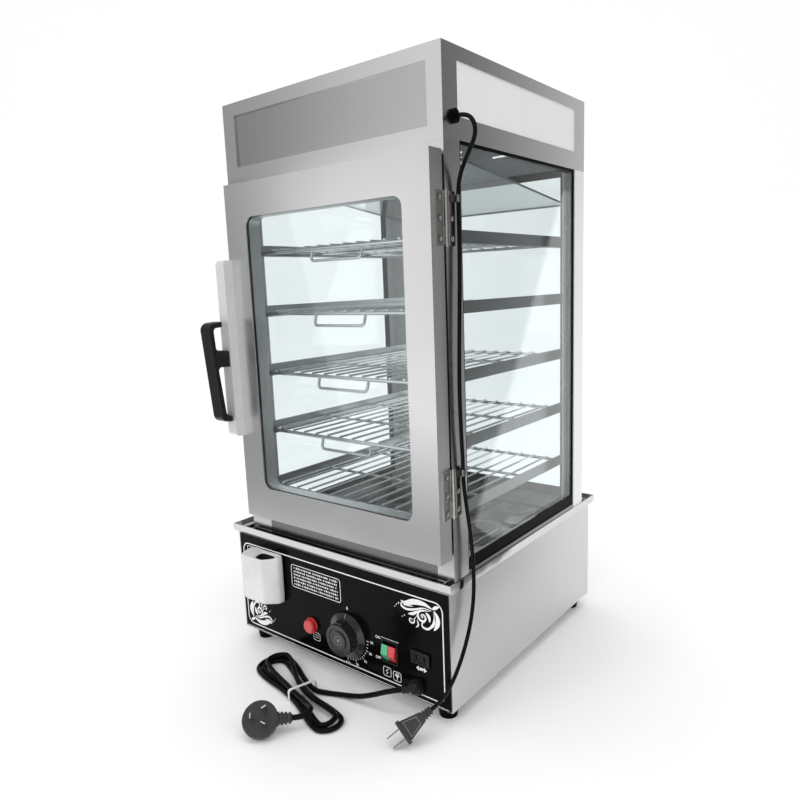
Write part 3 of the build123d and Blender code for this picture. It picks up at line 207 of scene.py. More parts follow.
class Look:
    """A material being put together round its Principled shader."""

    def __init__(self, name, colour, roughness, metallic=0.0, **sockets):
        self.mat = bpy.data.materials.new(name)
        self.mat.use_nodes = True
        self.tree = self.mat.node_tree
        self.bsdf = self.tree.nodes["Principled BSDF"]
        self.colour = colour
        self.bsdf.inputs["Base Color"].default_value = (*colour, 1)
        self.bsdf.inputs["Roughness"].default_value = roughness
        self.bsdf.inputs["Metallic"].default_value = metallic
        for key, value in sockets.items():
            self.bsdf.inputs[key.replace("_", " ")].default_value = value

    def add(self, kind, **values):
        """A node with values on its sockets."""
        node = self.tree.nodes.new(kind)
        for key, value in values.items():
            node.inputs[key.replace("_", " ")].default_value = value
        return node

    def wire(self, a, b):
        self.tree.links.new(a, b)

    def noise(self, scale, stretch=(1, 1, 1), detail=4.0):
        """Noise in the object's own space, drawn out along some of its axes."""
        place = self.add("ShaderNodeTexCoord")
        mapping = self.add("ShaderNodeMapping")
        mapping.inputs["Scale"].default_value = stretch
        noise = self.add("ShaderNodeTexNoise", Scale=scale, Detail=detail, Roughness=0.55)
        self.wire(place.outputs["Object"], mapping.inputs["Vector"])
        self.wire(mapping.outputs["Vector"], noise.inputs["Vector"])
        return noise.outputs["Fac"]

    def ramp(self, factor, low, high, start=0.3, end=0.7):
        """A factor turned into numbers between low and high."""
        node = self.add("ShaderNodeMapRange")
        node.inputs["From Min"].default_value = start
        node.inputs["From Max"].default_value = end
        node.inputs["To Min"].default_value = low
        node.inputs["To Max"].default_value = high
        self.wire(factor, node.inputs["Value"])
        return node.outputs["Result"]

    def tint(self, factor, dark, light, start=0.3, end=0.7):
        """Base colour between two shades of itself."""
        node = self.add("ShaderNodeValToRGB")
        node.color_ramp.elements[0].position = start
        node.color_ramp.elements[1].position = end
        node.color_ramp.elements[0].color = (*[c * dark for c in self.colour], 1)
        node.color_ramp.elements[1].color = (*[min(1, c * light) for c in self.colour], 1)
        self.wire(factor, node.inputs["Fac"])
        self.wire(node.outputs["Color"], self.bsdf.inputs["Base Color"])

    def rough(self, factor, low, high):
        """Roughness between two numbers."""
        self.wire(self.ramp(factor, low, high, 0.2, 0.8), self.bsdf.inputs["Roughness"])

    def bump(self, factor, strength, depth, edge=0.0):
        """Bump from a factor, over edges rounded by a small radius."""
        node = self.add("ShaderNodeBump", Strength=strength, Distance=depth)
        self.wire(factor, node.inputs["Height"])
        if edge:
            soft = self.add("ShaderNodeBevel", Radius=edge)
            soft.samples = 4
            self.wire(soft.outputs["Normal"], node.inputs["Normal"])
        self.wire(node.outputs["Normal"], self.bsdf.inputs["Normal"])


def steel(name, colour, grain, low=0.22, high=0.30, cloud=0.02, streak=0.004, metal=1.0,
          wave=0.0):
    """Brushed sheet: fine streaks along one axis, a faint cloudiness and, where wanted, waves."""
    look = Look(name, colour, 0.3, metal)
    streaks = look.noise(1.0, grain, 1.0)
    if wave:
        look.bump(look.noise(9.0, detail=1.5), 0.6, wave)
    else:
        look.bump(streaks, 0.02, 0.000004)
    look.rough(look.noise(7.0, detail=2.0), low, high)
    mix = look.add("ShaderNodeMath")
    mix.operation = "MULTIPLY_ADD"
    look.wire(streaks, mix.inputs[0])
    share = streak / cloud
    mix.inputs[1].default_value = share
    look.wire(look.noise(4.0, detail=2.0), mix.inputs[2])
    look.tint(mix.outputs[0], 1 - cloud - streak, 1 + cloud + streak, 0.1 + share / 2,
              min(1.0, 0.9 + share / 2))
    return look.mat


def plastic(name, colour, roughness, speck=900.0, depth=0.00006, coat=0.0, edge=0.0, cloud=0.07,
            **sockets):
    """Moulded plastic with a fine skin, on softened edges where a radius is given."""
    look = Look(name, colour, roughness, Coat_Weight=coat, **sockets)
    grain = look.noise(speck, detail=3.0)
    look.bump(grain, 0.25, depth, edge)
    look.rough(look.noise(60.0, detail=3.0), roughness * 0.88, min(1, roughness * 1.12))
    look.tint(look.noise(25.0, detail=3.0), 1 - cloud, 1 + cloud)
    return look.mat


def glass(name, colour, edge=None):
    """Clear pane: gloss at grazing angles, faint smears and, if asked for, dull cut edges."""
    look = Look(name, colour, 0.02)
    clear = look.add("ShaderNodeBsdfTransparent")
    clear.inputs["Color"].default_value = (*colour, 1)
    shine = look.add("ShaderNodeBsdfGlossy")
    shine.inputs["Color"].default_value = (1, 1, 1, 1)
    smears = look.ramp(look.noise(14.0, detail=4.0), 0.0, 0.05)
    look.wire(smears, shine.inputs["Roughness"])
    face = look.add("ShaderNodeNewGeometry")
    ior = look.add("ShaderNodeMapRange", To_Min=1.5, To_Max=1 / 1.5)
    look.wire(face.outputs["Backfacing"], ior.inputs["Value"])
    fresnel = look.add("ShaderNodeFresnel")
    look.wire(ior.outputs["Result"], fresnel.inputs["IOR"])
    mix = look.add("ShaderNodeMixShader")
    look.wire(fresnel.outputs["Fac"], mix.inputs["Fac"])
    look.wire(clear.outputs["BSDF"], mix.inputs[1])
    look.wire(shine.outputs["BSDF"], mix.inputs[2])
    out = mix.outputs["Shader"]
    if edge:
        look.bsdf.inputs["Base Color"].default_value = (*edge, 1)
        look.rough(look.noise(300.0), 0.3, 0.5)
        part = look.add("ShaderNodeSeparateXYZ")
        look.wire(face.outputs["Normal"], part.inputs["Vector"])
        flat = look.add("ShaderNodeMath")
        flat.operation = "ABSOLUTE"
        look.wire(part.outputs["Z"], flat.inputs[0])
        cut = look.add("ShaderNodeMixShader")
        look.wire(look.ramp(flat.outputs[0], 0.0, 1.0, 0.5, 0.6), cut.inputs["Fac"])
        look.wire(look.bsdf.outputs["BSDF"], cut.inputs[1])
        look.wire(out, cut.inputs[2])
        out = cut.outputs["Shader"]
    look.wire(out, look.tree.nodes["Material Output"].inputs["Surface"])
    return look.mat


def make_materials():
    """Every material of the machine by name."""
    up, level = (500, 500, 2), (2, 2, 500)     # grain of the brushed sheet
    dull, fine = (60, 60, 60), (300, 300, 300)
    return {
        "door": steel("door", (0.80, 0.80, 0.805), level, 0.28, 0.34),
        "header": steel("header", (0.80, 0.80, 0.805), level, 0.22, 0.28),
        "post": steel("post", (0.76, 0.755, 0.755), up, 0.20, 0.26),
        "rear_post": steel("rear_post", (0.80, 0.81, 0.81), up, 0.32, 0.40, metal=0.35),
        "strip": steel("strip", (0.84, 0.84, 0.84), up, 0.34, 0.42, metal=0.45),
        "sign": steel("sign", (0.60, 0.595, 0.60), level, 0.20, 0.26),
        "rail": steel("rail", (0.27, 0.275, 0.275), level, 0.26, 0.34, 0.03),
        "far_rail": steel("far_rail", (0.46, 0.47, 0.47), level, 0.26, 0.34, 0.03),
        "base_steel": steel("base_steel", (0.68, 0.68, 0.68), level, 0.36, 0.44, 0.02, 0.004),
        "tray_steel": steel("tray_steel", (0.64, 0.64, 0.64), level, 0.06, 0.12, 0.04, wave=0.004),
        "gutter": steel("gutter", (0.46, 0.46, 0.46), level, 0.04, 0.09, 0.03, wave=0.002),
        "bright": steel("bright", (0.70, 0.70, 0.70), dull, 0.14, 0.20, 0.01, 0.005),
        "hinge": steel("hinge", (0.50, 0.49, 0.47), dull, 0.20, 0.28, 0.04),
        "wire": steel("wire", (0.74, 0.76, 0.76), fine, 0.12, 0.20),
        "panel": plastic("panel", (0.003, 0.003, 0.003), 0.14, 300.0, 0.00001,
                         Specular_IOR_Level=0.06),
        "black": plastic("black", (0.008, 0.008, 0.008), 0.34, edge=EDGE_R,
                         Specular_IOR_Level=0.35),
        "knob": plastic("knob", (0.014, 0.014, 0.015), 0.20, 600.0, 0.00003,
                        Specular_IOR_Level=0.7, edge=EDGE_R),
        "rubber": plastic("rubber", (0.003, 0.003, 0.003), 0.35, 700.0,
                          Specular_IOR_Level=0.03),
        "cord": plastic("cord", (0.004, 0.004, 0.004), 0.28, 500.0, Specular_IOR_Level=0.12),
        "plug": plastic("plug", (0.044, 0.044, 0.046), 0.46, 800.0, 0.00012,
                        Specular_IOR_Level=0.35, edge=EDGE_R),
        "white": plastic("white", (0.70, 0.70, 0.69), 0.30, 300.0, 0.00001, 0.25),
        # painted shade: near-black for the inside of the cup's well, which is dark only by shade
        "well": plastic("well", (0.02, 0.02, 0.02), 0.5, 300.0, 0.00001),
        "tie": plastic("tie", (0.76, 0.76, 0.74), 0.35, 300.0, 0.00003),
        "milk": plastic("milk", (0.72, 0.72, 0.72), 0.40, 200.0, 0.00001, cloud=0.015),
        "ink": plastic("ink", (0.86, 0.86, 0.86), 0.5, 900.0, 0.00001, Specular_IOR_Level=0.2),
        # pale grey: printed marks on the knob, and the painted highlight on the plug label's edge
        "pale": plastic("pale", (0.20, 0.20, 0.20), 0.5, 900.0, 0.00001),
        "green": plastic("green", (0.04, 0.42, 0.20), 0.16, 300.0, 0.00002, 0.8, edge=EDGE_R),
        "red": plastic("red", (0.62, 0.025, 0.03), 0.16, 300.0, 0.00002, 0.8, edge=EDGE_R),
        "glass": glass("glass", (0.965, 0.988, 0.991)),
        "plate": glass("plate", (0.966, 0.988, 0.991), edge=(0.10, 0.12, 0.12)),
        "pins": steel("pins", (0.80, 0.79, 0.77), fine, 0.12, 0.20),
        "blades": steel("blades", (0.36, 0.36, 0.35), fine, 0.20, 0.30),
        "coil": steel("coil", (0.40, 0.39, 0.38), (80, 80, 80), 0.25, 0.4, 0.12),
    }


def dress(look, *names):
    """Give CAD nodes a material."""
    for name in names:
        data = nodes[name].data
        data.materials.clear()
        data.materials.append(looks[look])


def dress_nodes():
    """Materials of the CAD nodes that show."""
    dress("base_steel", "base_shell", "base_plate")
    dress("tray_steel", "drip_tray", "water_pan")
    dress("gutter", "drip_gutter")
    dress("bright", "hinge_pins", "hinge_frame_screws", "hinge_door_screws")
    dress("hinge", "hinge_frame_leaves", "hinge_door_leaves")
    dress("post", "front_left_post", "front_right_post")
    dress("rear_post", "rear_left_post", "rear_right_post")
    dress("door", "door_skin", "door_inner")
    dress("strip", "handle_strip")
    dress("header", "header_shell")
    dress("sign", "header_sign")
    dress("rail", "right_rack_rails", "sill_rails", "cord_clips")
    dress("far_rail", "left_rack_rails")
    dress("wire", "rack_1", "rack_2", "rack_3", "rack_4", "rack_5")
    dress("coil", "heating_element")
    dress("panel", "control_panel")
    dress("black", "thermostat", "switch_housing", "outlet", "door_handle", "power_gland")
    dress("knob", "thermostat_knob")
    dress("rubber", "feet", "grommet", "pane_seals", "door_seal")
    dress("plug", "power_plug", "lamp_plug")
    dress("pins", "power_plug_pins")
    dress("blades", "lamp_plug_blades")
    dress("tie", "cord_tie")
    dress("milk", "header_lights", "header_lamp")
    dress("green", "green_rocker")
    dress("red", "red_rocker", "indicator_lamp")
    dress("glass", "side_glass", "back_glass", "door_glass")
    dress("plate", "condensate_plate")


# Printed marks on the panel

INK_LIFT = 0.12
KNOB_X, KNOB_Z = 17.4, 74.2
KNOB_BACK = PANEL_Y - 0.8
KNOB_H = 19.8
BORDER = (-201.7, 180.7, 30.1, 164.1, 12, 1.7)
NOTE_BOX = (-92.5, 6.5, 118.5, 153.0, 4, 1.0)
NOTE_LEFT, NOTE_RIGHT, NOTE_TOP, NOTE_PITCH, NOTE_ROWS = -87.5, 1.5, 148.3, 5.0, 6
CUP_BOX = (-192.0, -172.0, 148.5, 160.5, 2, 0.9)
LAMP_BOX = (-53.0, -40.0, 45.5, 57.0, 2, 0.7)
ICON_HALF = 6.5
ARROWS_X, ARROWS_Z = 145, 66.0
TICKS, TICK_START, TICK_STEP = 13, 2, 8


def ribbon(mesh, line, widths, closed=False, y=PANEL_Y - INK_LIFT):
    """Flat stroke on the panel along (x, z) places, with a width at each."""
    pts = [Vector(p) for p in line]
    count = len(pts)
    left, right = [], []
    for i, p in enumerate(pts):
        a = pts[i - 1] if i > 0 or closed else p
        b = pts[(i + 1) % count] if i < count - 1 or closed else p
        along = (b - a).normalized()
        side = Vector((-along.y, along.x)) * widths[i] / 2
        for row, q in ((left, p + side), (right, p - side)):
            row.append(mesh.verts.new(at(q.x, y, q.y)))
    for i in range(count if closed else count - 1):
        j = (i + 1) % count
        mesh.faces.new((left[i], left[j], right[j], right[i]))


def rounded_box(x0, x1, z0, z1, r, steps=6):
    """Outline of a box with round corners."""
    out = []
    for cx, cz, start in ((x1 - r, z1 - r, 0), (x0 + r, z1 - r, 90), (x0 + r, z0 + r, 180),
                          (x1 - r, z0 + r, 270)):
        for k in range(steps + 1):
            a = math.radians(start + 90 * k / steps)
            out.append((cx + r * math.cos(a), cz + r * math.sin(a)))
    return out


def frame_line(mesh, x0, x1, z0, z1, r, width):
    """Outline of a box with round corners, drawn as a stroke."""
    line = rounded_box(x0, x1, z0, z1, r)
    ribbon(mesh, line, [width] * len(line), closed=True)


def smooth(points, steps=7):
    """Smooth line through points, as many-sided as the steps between two of them."""
    out = []
    for i in range(len(points) - 1):
        a, b, c, d = (Vector(points[max(0, min(len(points) - 1, i + k))]) for k in (-1, 0, 1, 2))
        for k in range(steps):
            t = k / steps
            out.append((2 * b + (c - a) * t + (2 * a - 5 * b + 4 * c - d) * t ** 2
                        + (3 * b - a - 3 * c + d) * t ** 3) / 2)
    return out + [Vector(points[-1])]


def stroke(mesh, place, points, width, tip=0.12, peak=0.4):
    """Leaf or stem through points: thin at both ends, widest at its peak."""
    line = smooth(points)
    widths = []
    for i in range(len(line)):
        t = i / (len(line) - 1)
        swell = math.sin(math.pi / 2 * t / peak) if t < peak else math.cos(
            math.pi / 2 * (t - peak) / (1 - peak))
        widths.append(width * (tip + (1 - tip) * swell))
    ribbon(mesh, [place(p) for p in line], widths)


def spiral(centre, r, start, turns, way, ends=0.16):
    """Points of a scroll that winds in round a centre."""
    count = int(14 * turns)
    pts = []
    for k in range(count + 1):
        t = k / count
        a = math.radians(start) + way * 2 * math.pi * turns * t
        pts.append((centre[0] + r * (1 - (1 - ends) * t ** 0.8) * math.cos(a),
                    centre[1] + r * (1 - (1 - ends) * t ** 0.8) * math.sin(a)))
    return pts


def corner_ornament(mesh, x, z, wide, high, flip_x, flip_z):
    """Traditional scroll with leaves, in a box whose outer corner is at x, z."""
    def place(p):
        return x - flip_x * wide * (1 - p[0] / 74), z - flip_z * high * (1 - p[1] / 41)

    def leaf(width, *points, tip=0.06, peak=0.5):
        stroke(mesh, place, points, width, tip, peak)

    leaf(7.5, (63, 34), (49, 38), (33, 36.5), (20, 31), (13, 33))
    leaf(3.0, (62, 32), (48, 31.5), (34, 26), (22, 23), (14, 25.5), (14, 30), (18, 30.5))
    leaf(1.5, (33, 30), (24, 28.5), (17, 27.5), peak=0.4)
    leaf(6.6, (65, 33), (70, 24), (69.5, 14), (64, 5))
    leaf(3.0, (64, 32), (65, 22), (62, 12), (55, 4.5), (47, 5), (46, 10), (50, 11.5))
    leaf(1.6, (66, 20), (65, 13), (60, 6.5), peak=0.4)
    leaf(4.6, (62, 34), (67, 37.5), (73, 40.5))
    leaf(3.2, *([(61, 32), (56, 30), (50, 29)] + spiral((47, 19), 9.5, 80, 1.45, 1)), peak=0.3)
    leaf(4.6, (52, 27), (57, 22), (58, 14.5), peak=0.45)
    leaf(4.2, (40, 26), (33, 20), (24, 17), peak=0.55)
    leaf(2.2, *([(41, 24), (36, 15)] + spiral((29, 9.5), 5.5, 30, 1.2, -1)), peak=0.3)
    leaf(2.4, (38, 13), (40, 6), (36, 1))
    for spot, r in (((9, 28), 1.1), ((5.5, 25), 0.9), ((2.8, 21.5), 0.7), ((18, 13), 0.9),
                    ((14.5, 10.5), 0.7), ((47, 19), 1.3)):
        leaf(2 * r, (spot[0] - r, spot[1]), spot, (spot[0] + r, spot[1]), tip=0.3)


def panel_marks():
    """White lines on the panel: border, note box, icons, dial ticks and corner scrolls."""
    mesh = bmesh.new()
    frame_line(mesh, *BORDER)
    ribbon(mesh, [(-206.0, 23.4), (187.0, 23.4)], [0.9, 0.9])
    frame_line(mesh, *NOTE_BOX)
    for row in range(NOTE_ROWS):
        z = NOTE_TOP - row * NOTE_PITCH
        x, k = NOTE_LEFT, row * 3
        while x < NOTE_RIGHT - 1:
            w = 1.6 + 1.0 * ((k * 7) % 5) / 4
            high = 2.1 + 1.0 * ((k * 3) % 4) / 3
            ribbon(mesh, [(x, z), (min(x + w, NOTE_RIGHT), z)], [high, high - 0.4 * (k % 2)])
            x += w + 1.5 + (1.7 if (k * 5) % 9 == 0 else 0)
            k += 1
    frame_line(mesh, *CUP_BOX)
    frame_line(mesh, *LAMP_BOX)
    for z in (49.5, 53.0):
        ribbon(mesh, [(-50.5, z), (-48.4, z + 0.8), (-46.4, z), (-44.4, z + 0.8), (-42.5, z)],
               [0.7] * 5)
    for x, z in ((86.8, 42.4), (103.9, 40.9)):
        frame_line(mesh, x - ICON_HALF, x + ICON_HALF, z - ICON_HALF, z + ICON_HALF, 2.5, 0.9)
    ribbon(mesh, [(88.9, 47.2), (85.0, 42.6), (88.2, 42.2), (84.6, 37.4)], [0.6, 1.9, 1.9, 0.3])
    ribbon(mesh, [(100.4, 42.6), (107.4, 42.6)], [2.2, 2.2])
    for x in (102.2, 105.6):
        ribbon(mesh, [(x, 43.4), (x, 46.2)], [1.1, 1.1])
    ribbon(mesh, [(103.9, 42.0), (103.9, 39.4), (103.9, 39.3), (103.9, 35.6)],
           [4.4, 2.6, 1.0, 1.0])
    for way in (-1, 1):
        x, z = ARROWS_X, ARROWS_Z
        ribbon(mesh, [(x + way * 8.5, z), (x + way * 4, z)], [0.3, 7.2])
        ribbon(mesh, [(x + way * 4, z + way * 0.9), (x - way * 2.5, z + way * 0.9)], [2.0, 2.0])
    ribbon(mesh, [(78.4, 90.4), (108.4, 90.4)], [0.7, 0.7])
    for k in range(TICKS):
        a = math.radians(TICK_START - k * TICK_STEP)
        inner, outer = 34.4, 38.8 if k % 3 == 0 else 37.2
        ribbon(mesh, [(KNOB_X + inner * math.cos(a), KNOB_Z + inner * math.sin(a)),
                      (KNOB_X + outer * math.cos(a), KNOB_Z + outer * math.sin(a))], [0.9, 0.9])
    corner_ornament(mesh, 177.0, 160.5, 75.0, 39.5, 1, 1)
    corner_ornament(mesh, -197.0, 34.0, 62.0, 39.0, -1, -1)
    add_mesh("panel_marks", mesh, "ink", "cabinet")


def add_mesh(name, mesh, look, body):
    """Finish a mesh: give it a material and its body."""
    data = bpy.data.meshes.new(name)
    mesh.to_mesh(data)
    mesh.free()
    data.materials.append(looks[look])
    obj = link(bpy.data.objects.new(name, data))
    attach(obj, body)
    return obj


def knob_marks():
    """Pointer line on the knob's skirt, and a ring and a dot on its face."""
    mesh = bmesh.new()
    corners = []
    for dx, r, lift in ((-0.7, 26.2, 4.9), (0.7, 26.2, 4.9), (0.7, 32.4, 2.5), (-0.7, 32.4, 2.5)):
        corners.append(mesh.verts.new(at(KNOB_X + dx, KNOB_BACK - lift - 0.1, KNOB_Z + r)))
    mesh.faces.new(corners)
    front = KNOB_BACK - KNOB_H - 0.1
    for r, width in ((6.4, 0.8), (1.6, 2.2)):
        ring = [(KNOB_X + r * math.cos(math.radians(a)), KNOB_Z + r * math.sin(math.radians(a)))
                for a in range(0, 360, 12)]
        ribbon(mesh, ring, [width] * len(ring), closed=True, y=front)
    add_mesh("knob_marks", mesh, "pale", "knob")


SCREW_X = 191.6                    # outer face of the hinge leaves
LEAF_H = 60.5
LEAF_FEET = (274.5, 595.0)
SCREW_SHARES = (0.13, 0.5, 0.87)   # along a leaf
# the flat black ring round each screw head is painted shadow
SCREW_R, SCREW_EDGE, SCREW_DOME, SHADE_RING_W, SHADE_RING_LIFT = 3.2, 0.3, 1.1, 0.8, 0.04
CROSS_HALF, CROSS_DEEP, CROSS_REACH = 0.5, 0.55, 0.62
SCREW_RINGS, SCREW_SPOKES, SCREW_TURN = 12, 40, 20


def screws(name, y, body, node):
    """Domed screw heads with a cross recess and a painted shadow ring round each, three in each
    hinge leaf.
    """
    mesh = bmesh.new()
    rings, spokes = SCREW_RINGS, SCREW_SPOKES
    for foot in LEAF_FEET:
        for share in SCREW_SHARES:
            z = foot + LEAF_H * share
            rows = []
            for i in range(1, rings + 3):
                r = SCREW_R * min(i, rings) / rings + (SHADE_RING_W if i > rings + 1 else 0.0)
                row = []
                for k in range(spokes):
                    turn = 2 * math.pi * k / spokes
                    a = turn + math.radians(SCREW_TURN + z)
                    dome = SCREW_EDGE + SCREW_DOME * (1 - (r / SCREW_R) ** 2)
                    lift = SHADE_RING_LIFT if i > rings else dome
                    across = min(abs(r * math.cos(turn)), abs(r * math.sin(turn)))
                    if across < CROSS_HALF and r < SCREW_R * CROSS_REACH:
                        lift -= CROSS_DEEP
                    row.append(mesh.verts.new(at(SCREW_X + lift, y + r * math.cos(a),
                                                 z + r * math.sin(a))))
                rows.append(row)
            top = SCREW_EDGE + SCREW_DOME - CROSS_DEEP
            mid = mesh.verts.new(at(SCREW_X + top, y, z))
            for k in range(spokes):
                j = (k + 1) % spokes
                mesh.faces.new((mid, rows[0][k], rows[0][j]))
                for a, b in zip(rows, rows[1:]):
                    face = mesh.faces.new((a[k], b[k], b[j], a[j]))
                    # the outer ring takes the black rubber material: painted shadow round the head
                    face.material_index = 1 if b is rows[-1] else 0
    obj = add_mesh(name, mesh, "bright", body)
    # second material, for the painted shadow ring round each head
    obj.data.materials.append(looks["rubber"])
    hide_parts(node)


CUP_OUTLINE = ((-2, 0), (-2, 12), (-1.5, 20), (1, 26.5), (8, 28.7), (24, 28.7), (40, 28.7),
               (48.5, 28.7), (52.5, 27), (66.5, 14.8), (69.5, 11.5), (70.5, 6), (70.5, 0), (50, 0),
               (34, 0), (17, 0))
CUP_WELL = ((29, 6.5), (28, 10), (28, 14), (28.5, 18), (31, 21.5), (35, 22.5), (40, 22.5),
            (47, 22.5), (52, 21.5), (57, 16.5), (58.5, 13), (58.5, 9), (57, 6), (50, 5.5),
            (42, 5.5), (34, 5.8))
CUP_X, CUP_Z0, CUP_Z1 = -177.5, 88.5, 163.5
CUP_MID = Vector((34, 14))
CUP_NEAR, CUP_FAR, CUP_DEPTH = 0.6, 28.0, 28.7
CUP_SHADE_FROM = 9                  # ring from which the well's wall is painted black, as shade


def cup():
    """Soft-edged water cup with a thick rim, a mouth that slopes and a deep well, whose lower wall
    and floor are painted black as shade.
    """
    mesh = bmesh.new()

    def ring(outline, shrink, z, sink=0.0):
        row = []
        for u, d in outline:
            p = Vector((u, d))
            q = p + (CUP_MID - p).normalized() * shrink if shrink else p
            q.y = min(max(q.y, CUP_NEAR), CUP_FAR)
            row.append(mesh.verts.new(at(CUP_X + q.x, PANEL_Y - q.y, z - sink * q.y / CUP_DEPTH)))
        return row

    rows = [ring(CUP_OUTLINE, 6.0, CUP_Z0 + 0.3), ring(CUP_OUTLINE, 2.4, CUP_Z0 + 0.8),
            ring(CUP_OUTLINE, 0.6, CUP_Z0 + 4.0), ring(CUP_OUTLINE, 0.4, CUP_Z0 + 34),
            ring(CUP_OUTLINE, 0.4, CUP_Z1 - 5.5, 3.4), ring(CUP_OUTLINE, 0.8, CUP_Z1 - 2.2, 3.8),
            ring(CUP_OUTLINE, 2.4, CUP_Z1 - 0.3, 4.0), ring(CUP_OUTLINE, 4.4, CUP_Z1 - 0.4, 4.0),
            ring(CUP_WELL, -4.2, CUP_Z1 - 1.6, 3.6), ring(CUP_WELL, -1.2, CUP_Z1 - 2.6, 3.0),
            ring(CUP_WELL, 0, CUP_Z1 - 3.6, 3.0), ring(CUP_WELL, 0, CUP_Z1 - 5.5, 2.0),
            ring(CUP_WELL, 0, CUP_Z1 - 30), ring(CUP_WELL, 0, CUP_Z0 + 8),
            ring(CUP_WELL, 3.0, CUP_Z0 + 6.5)]
    for i in range(len(rows) - 1):
        for k in range(len(CUP_OUTLINE)):
            j = (k + 1) % len(CUP_OUTLINE)
            face = mesh.faces.new((rows[i][k], rows[i][j], rows[i + 1][j], rows[i + 1][k]))
            # the well's deeper faces take the near-black well material: painted shade
            face.material_index = 1 if i > CUP_SHADE_FROM else 0
            face.smooth = True
    for row in (rows[0], rows[-1]):
        face = mesh.faces.new(row)
        face.material_index = 0 if row is rows[0] else 1
        face.smooth = True
    bmesh.ops.recalc_face_normals(mesh, faces=mesh.faces)
    obj = add_mesh("water_cup", mesh, "white", "cabinet")
    # second material: the near-black painted shade inside the well
    obj.data.materials.append(looks["well"])
    soft = obj.modifiers.new("soft", "SUBSURF")
    soft.levels = soft.render_levels = 2
    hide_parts("filler_cup")


def plug_label_highlight():
    """Raised outline on both flats of the two-pin plug's body, in pale grey: a painted highlight
    on the edge of its label.
    """
    across = LAMP_PLUG_DIR.cross(Vector((0, 0, 1))).normalized()
    lift = across.cross(LAMP_PLUG_DIR).normalized()
    roll = math.radians(LAMP_PLUG_ROLL)
    wide = across * math.cos(roll) + lift * math.sin(roll)
    flat = LAMP_PLUG_DIR.cross(wide)
    mesh = bmesh.new()
    for way in (-1, 1):
        rows = []
        for grow in (0.0, 0.7):
            row = []
            for u, v in ((-4.4 - grow, 20 - grow), (4.4 + grow, 20 - grow),
                         (9.2 + grow, 36 + grow), (-9.2 - grow, 36 + grow)):
                out = 5.0 + (v - 14) / 26.5 * 2 + 0.12
                row.append(mesh.verts.new(at(*(LAMP_PLUG_BACK + LAMP_PLUG_DIR * v + wide * u
                                               + flat * way * out))))
            rows.append(row)
        for k in range(4):
            j = (k + 1) % 4
            mesh.faces.new((rows[0][k], rows[1][k], rows[1][j], rows[0][j]))
    # pale grey outline: painted highlight on the label's edge
    add_mesh("plug_label_highlight", mesh, "pale", "cabinet")


def word(text, x, z, size):
    """Small printed letters or numbers, centred on a place of the panel."""
    data = bpy.data.curves.new("mark_" + text.lower(), "FONT")
    data.body = text
    data.size = size / 1000
    data.align_x = "CENTER"
    data.align_y = "CENTER"
    data.offset = 0.00012
    data.materials.append(looks["ink"])
    obj = link(bpy.data.objects.new("mark_" + text.lower(), data))
    place = Matrix.Translation(at(x, PANEL_Y - INK_LIFT, z))
    obj.matrix_world = place @ Matrix.Rotation(math.pi / 2, 4, "X")
    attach(obj, "cabinet")


def words():
    """Switch positions and the dial's numbers."""
    word("ON", 72.6, 87.9, 5.4)
    word("OFF", 72.0, 58.3, 5.4)
    word("0", 17.9, 113.6, 6.4)
    for k, text in enumerate(("30", "50", "70", "90", "110")):
        a = math.radians(TICK_START - k * 3 * TICK_STEP)
        word(text, KNOB_X + 43.5 * math.cos(a), KNOB_Z + 43.0 * math.sin(a), 5.2)


# Light and floor

def area(name, place, target, size, power):
    """Soft lamp that looks at a target and isn't mirrored."""
    data = bpy.data.lights.new(name, "AREA")
    data.shape = "RECTANGLE"
    data.size, data.size_y = size
    data.energy = power
    lamp = link(bpy.data.objects.new(name, data))
    turn = (Vector(target) - Vector(place)).to_track_quat("-Z", "Y")
    lamp.matrix_world = Matrix.Translation(place) @ turn.to_matrix().to_4x4()
    lamp.visible_glossy = False


def card(name, corners, grey, axis="X", full=8.0, gone=9.0):
    """Card that shows in gloss alone, solid up to full on one axis and clear from gone on."""
    mesh = bmesh.new()
    mesh.faces.new([mesh.verts.new(p) for p in corners])
    data = bpy.data.meshes.new(name)
    mesh.to_mesh(data)
    mesh.free()
    look = Look(name, (grey, grey, grey), 0.9)
    shine = look.add("ShaderNodeEmission", Color=(grey, grey, grey, 1))
    spot = look.add("ShaderNodeSeparateXYZ")
    look.wire(look.add("ShaderNodeNewGeometry").outputs["Position"], spot.inputs["Vector"])
    mix = look.add("ShaderNodeMixShader")
    look.wire(look.ramp(spot.outputs[axis], 1.0, 0.0, full, gone), mix.inputs["Fac"])
    look.wire(look.add("ShaderNodeBsdfTransparent").outputs["BSDF"], mix.inputs[1])
    look.wire(shine.outputs["Emission"], mix.inputs[2])
    look.wire(mix.outputs["Shader"], look.tree.nodes["Material Output"].inputs["Surface"])
    data.materials.append(look.mat)
    obj = link(bpy.data.objects.new(name, data))
    obj.visible_camera = obj.visible_diffuse = obj.visible_shadow = False


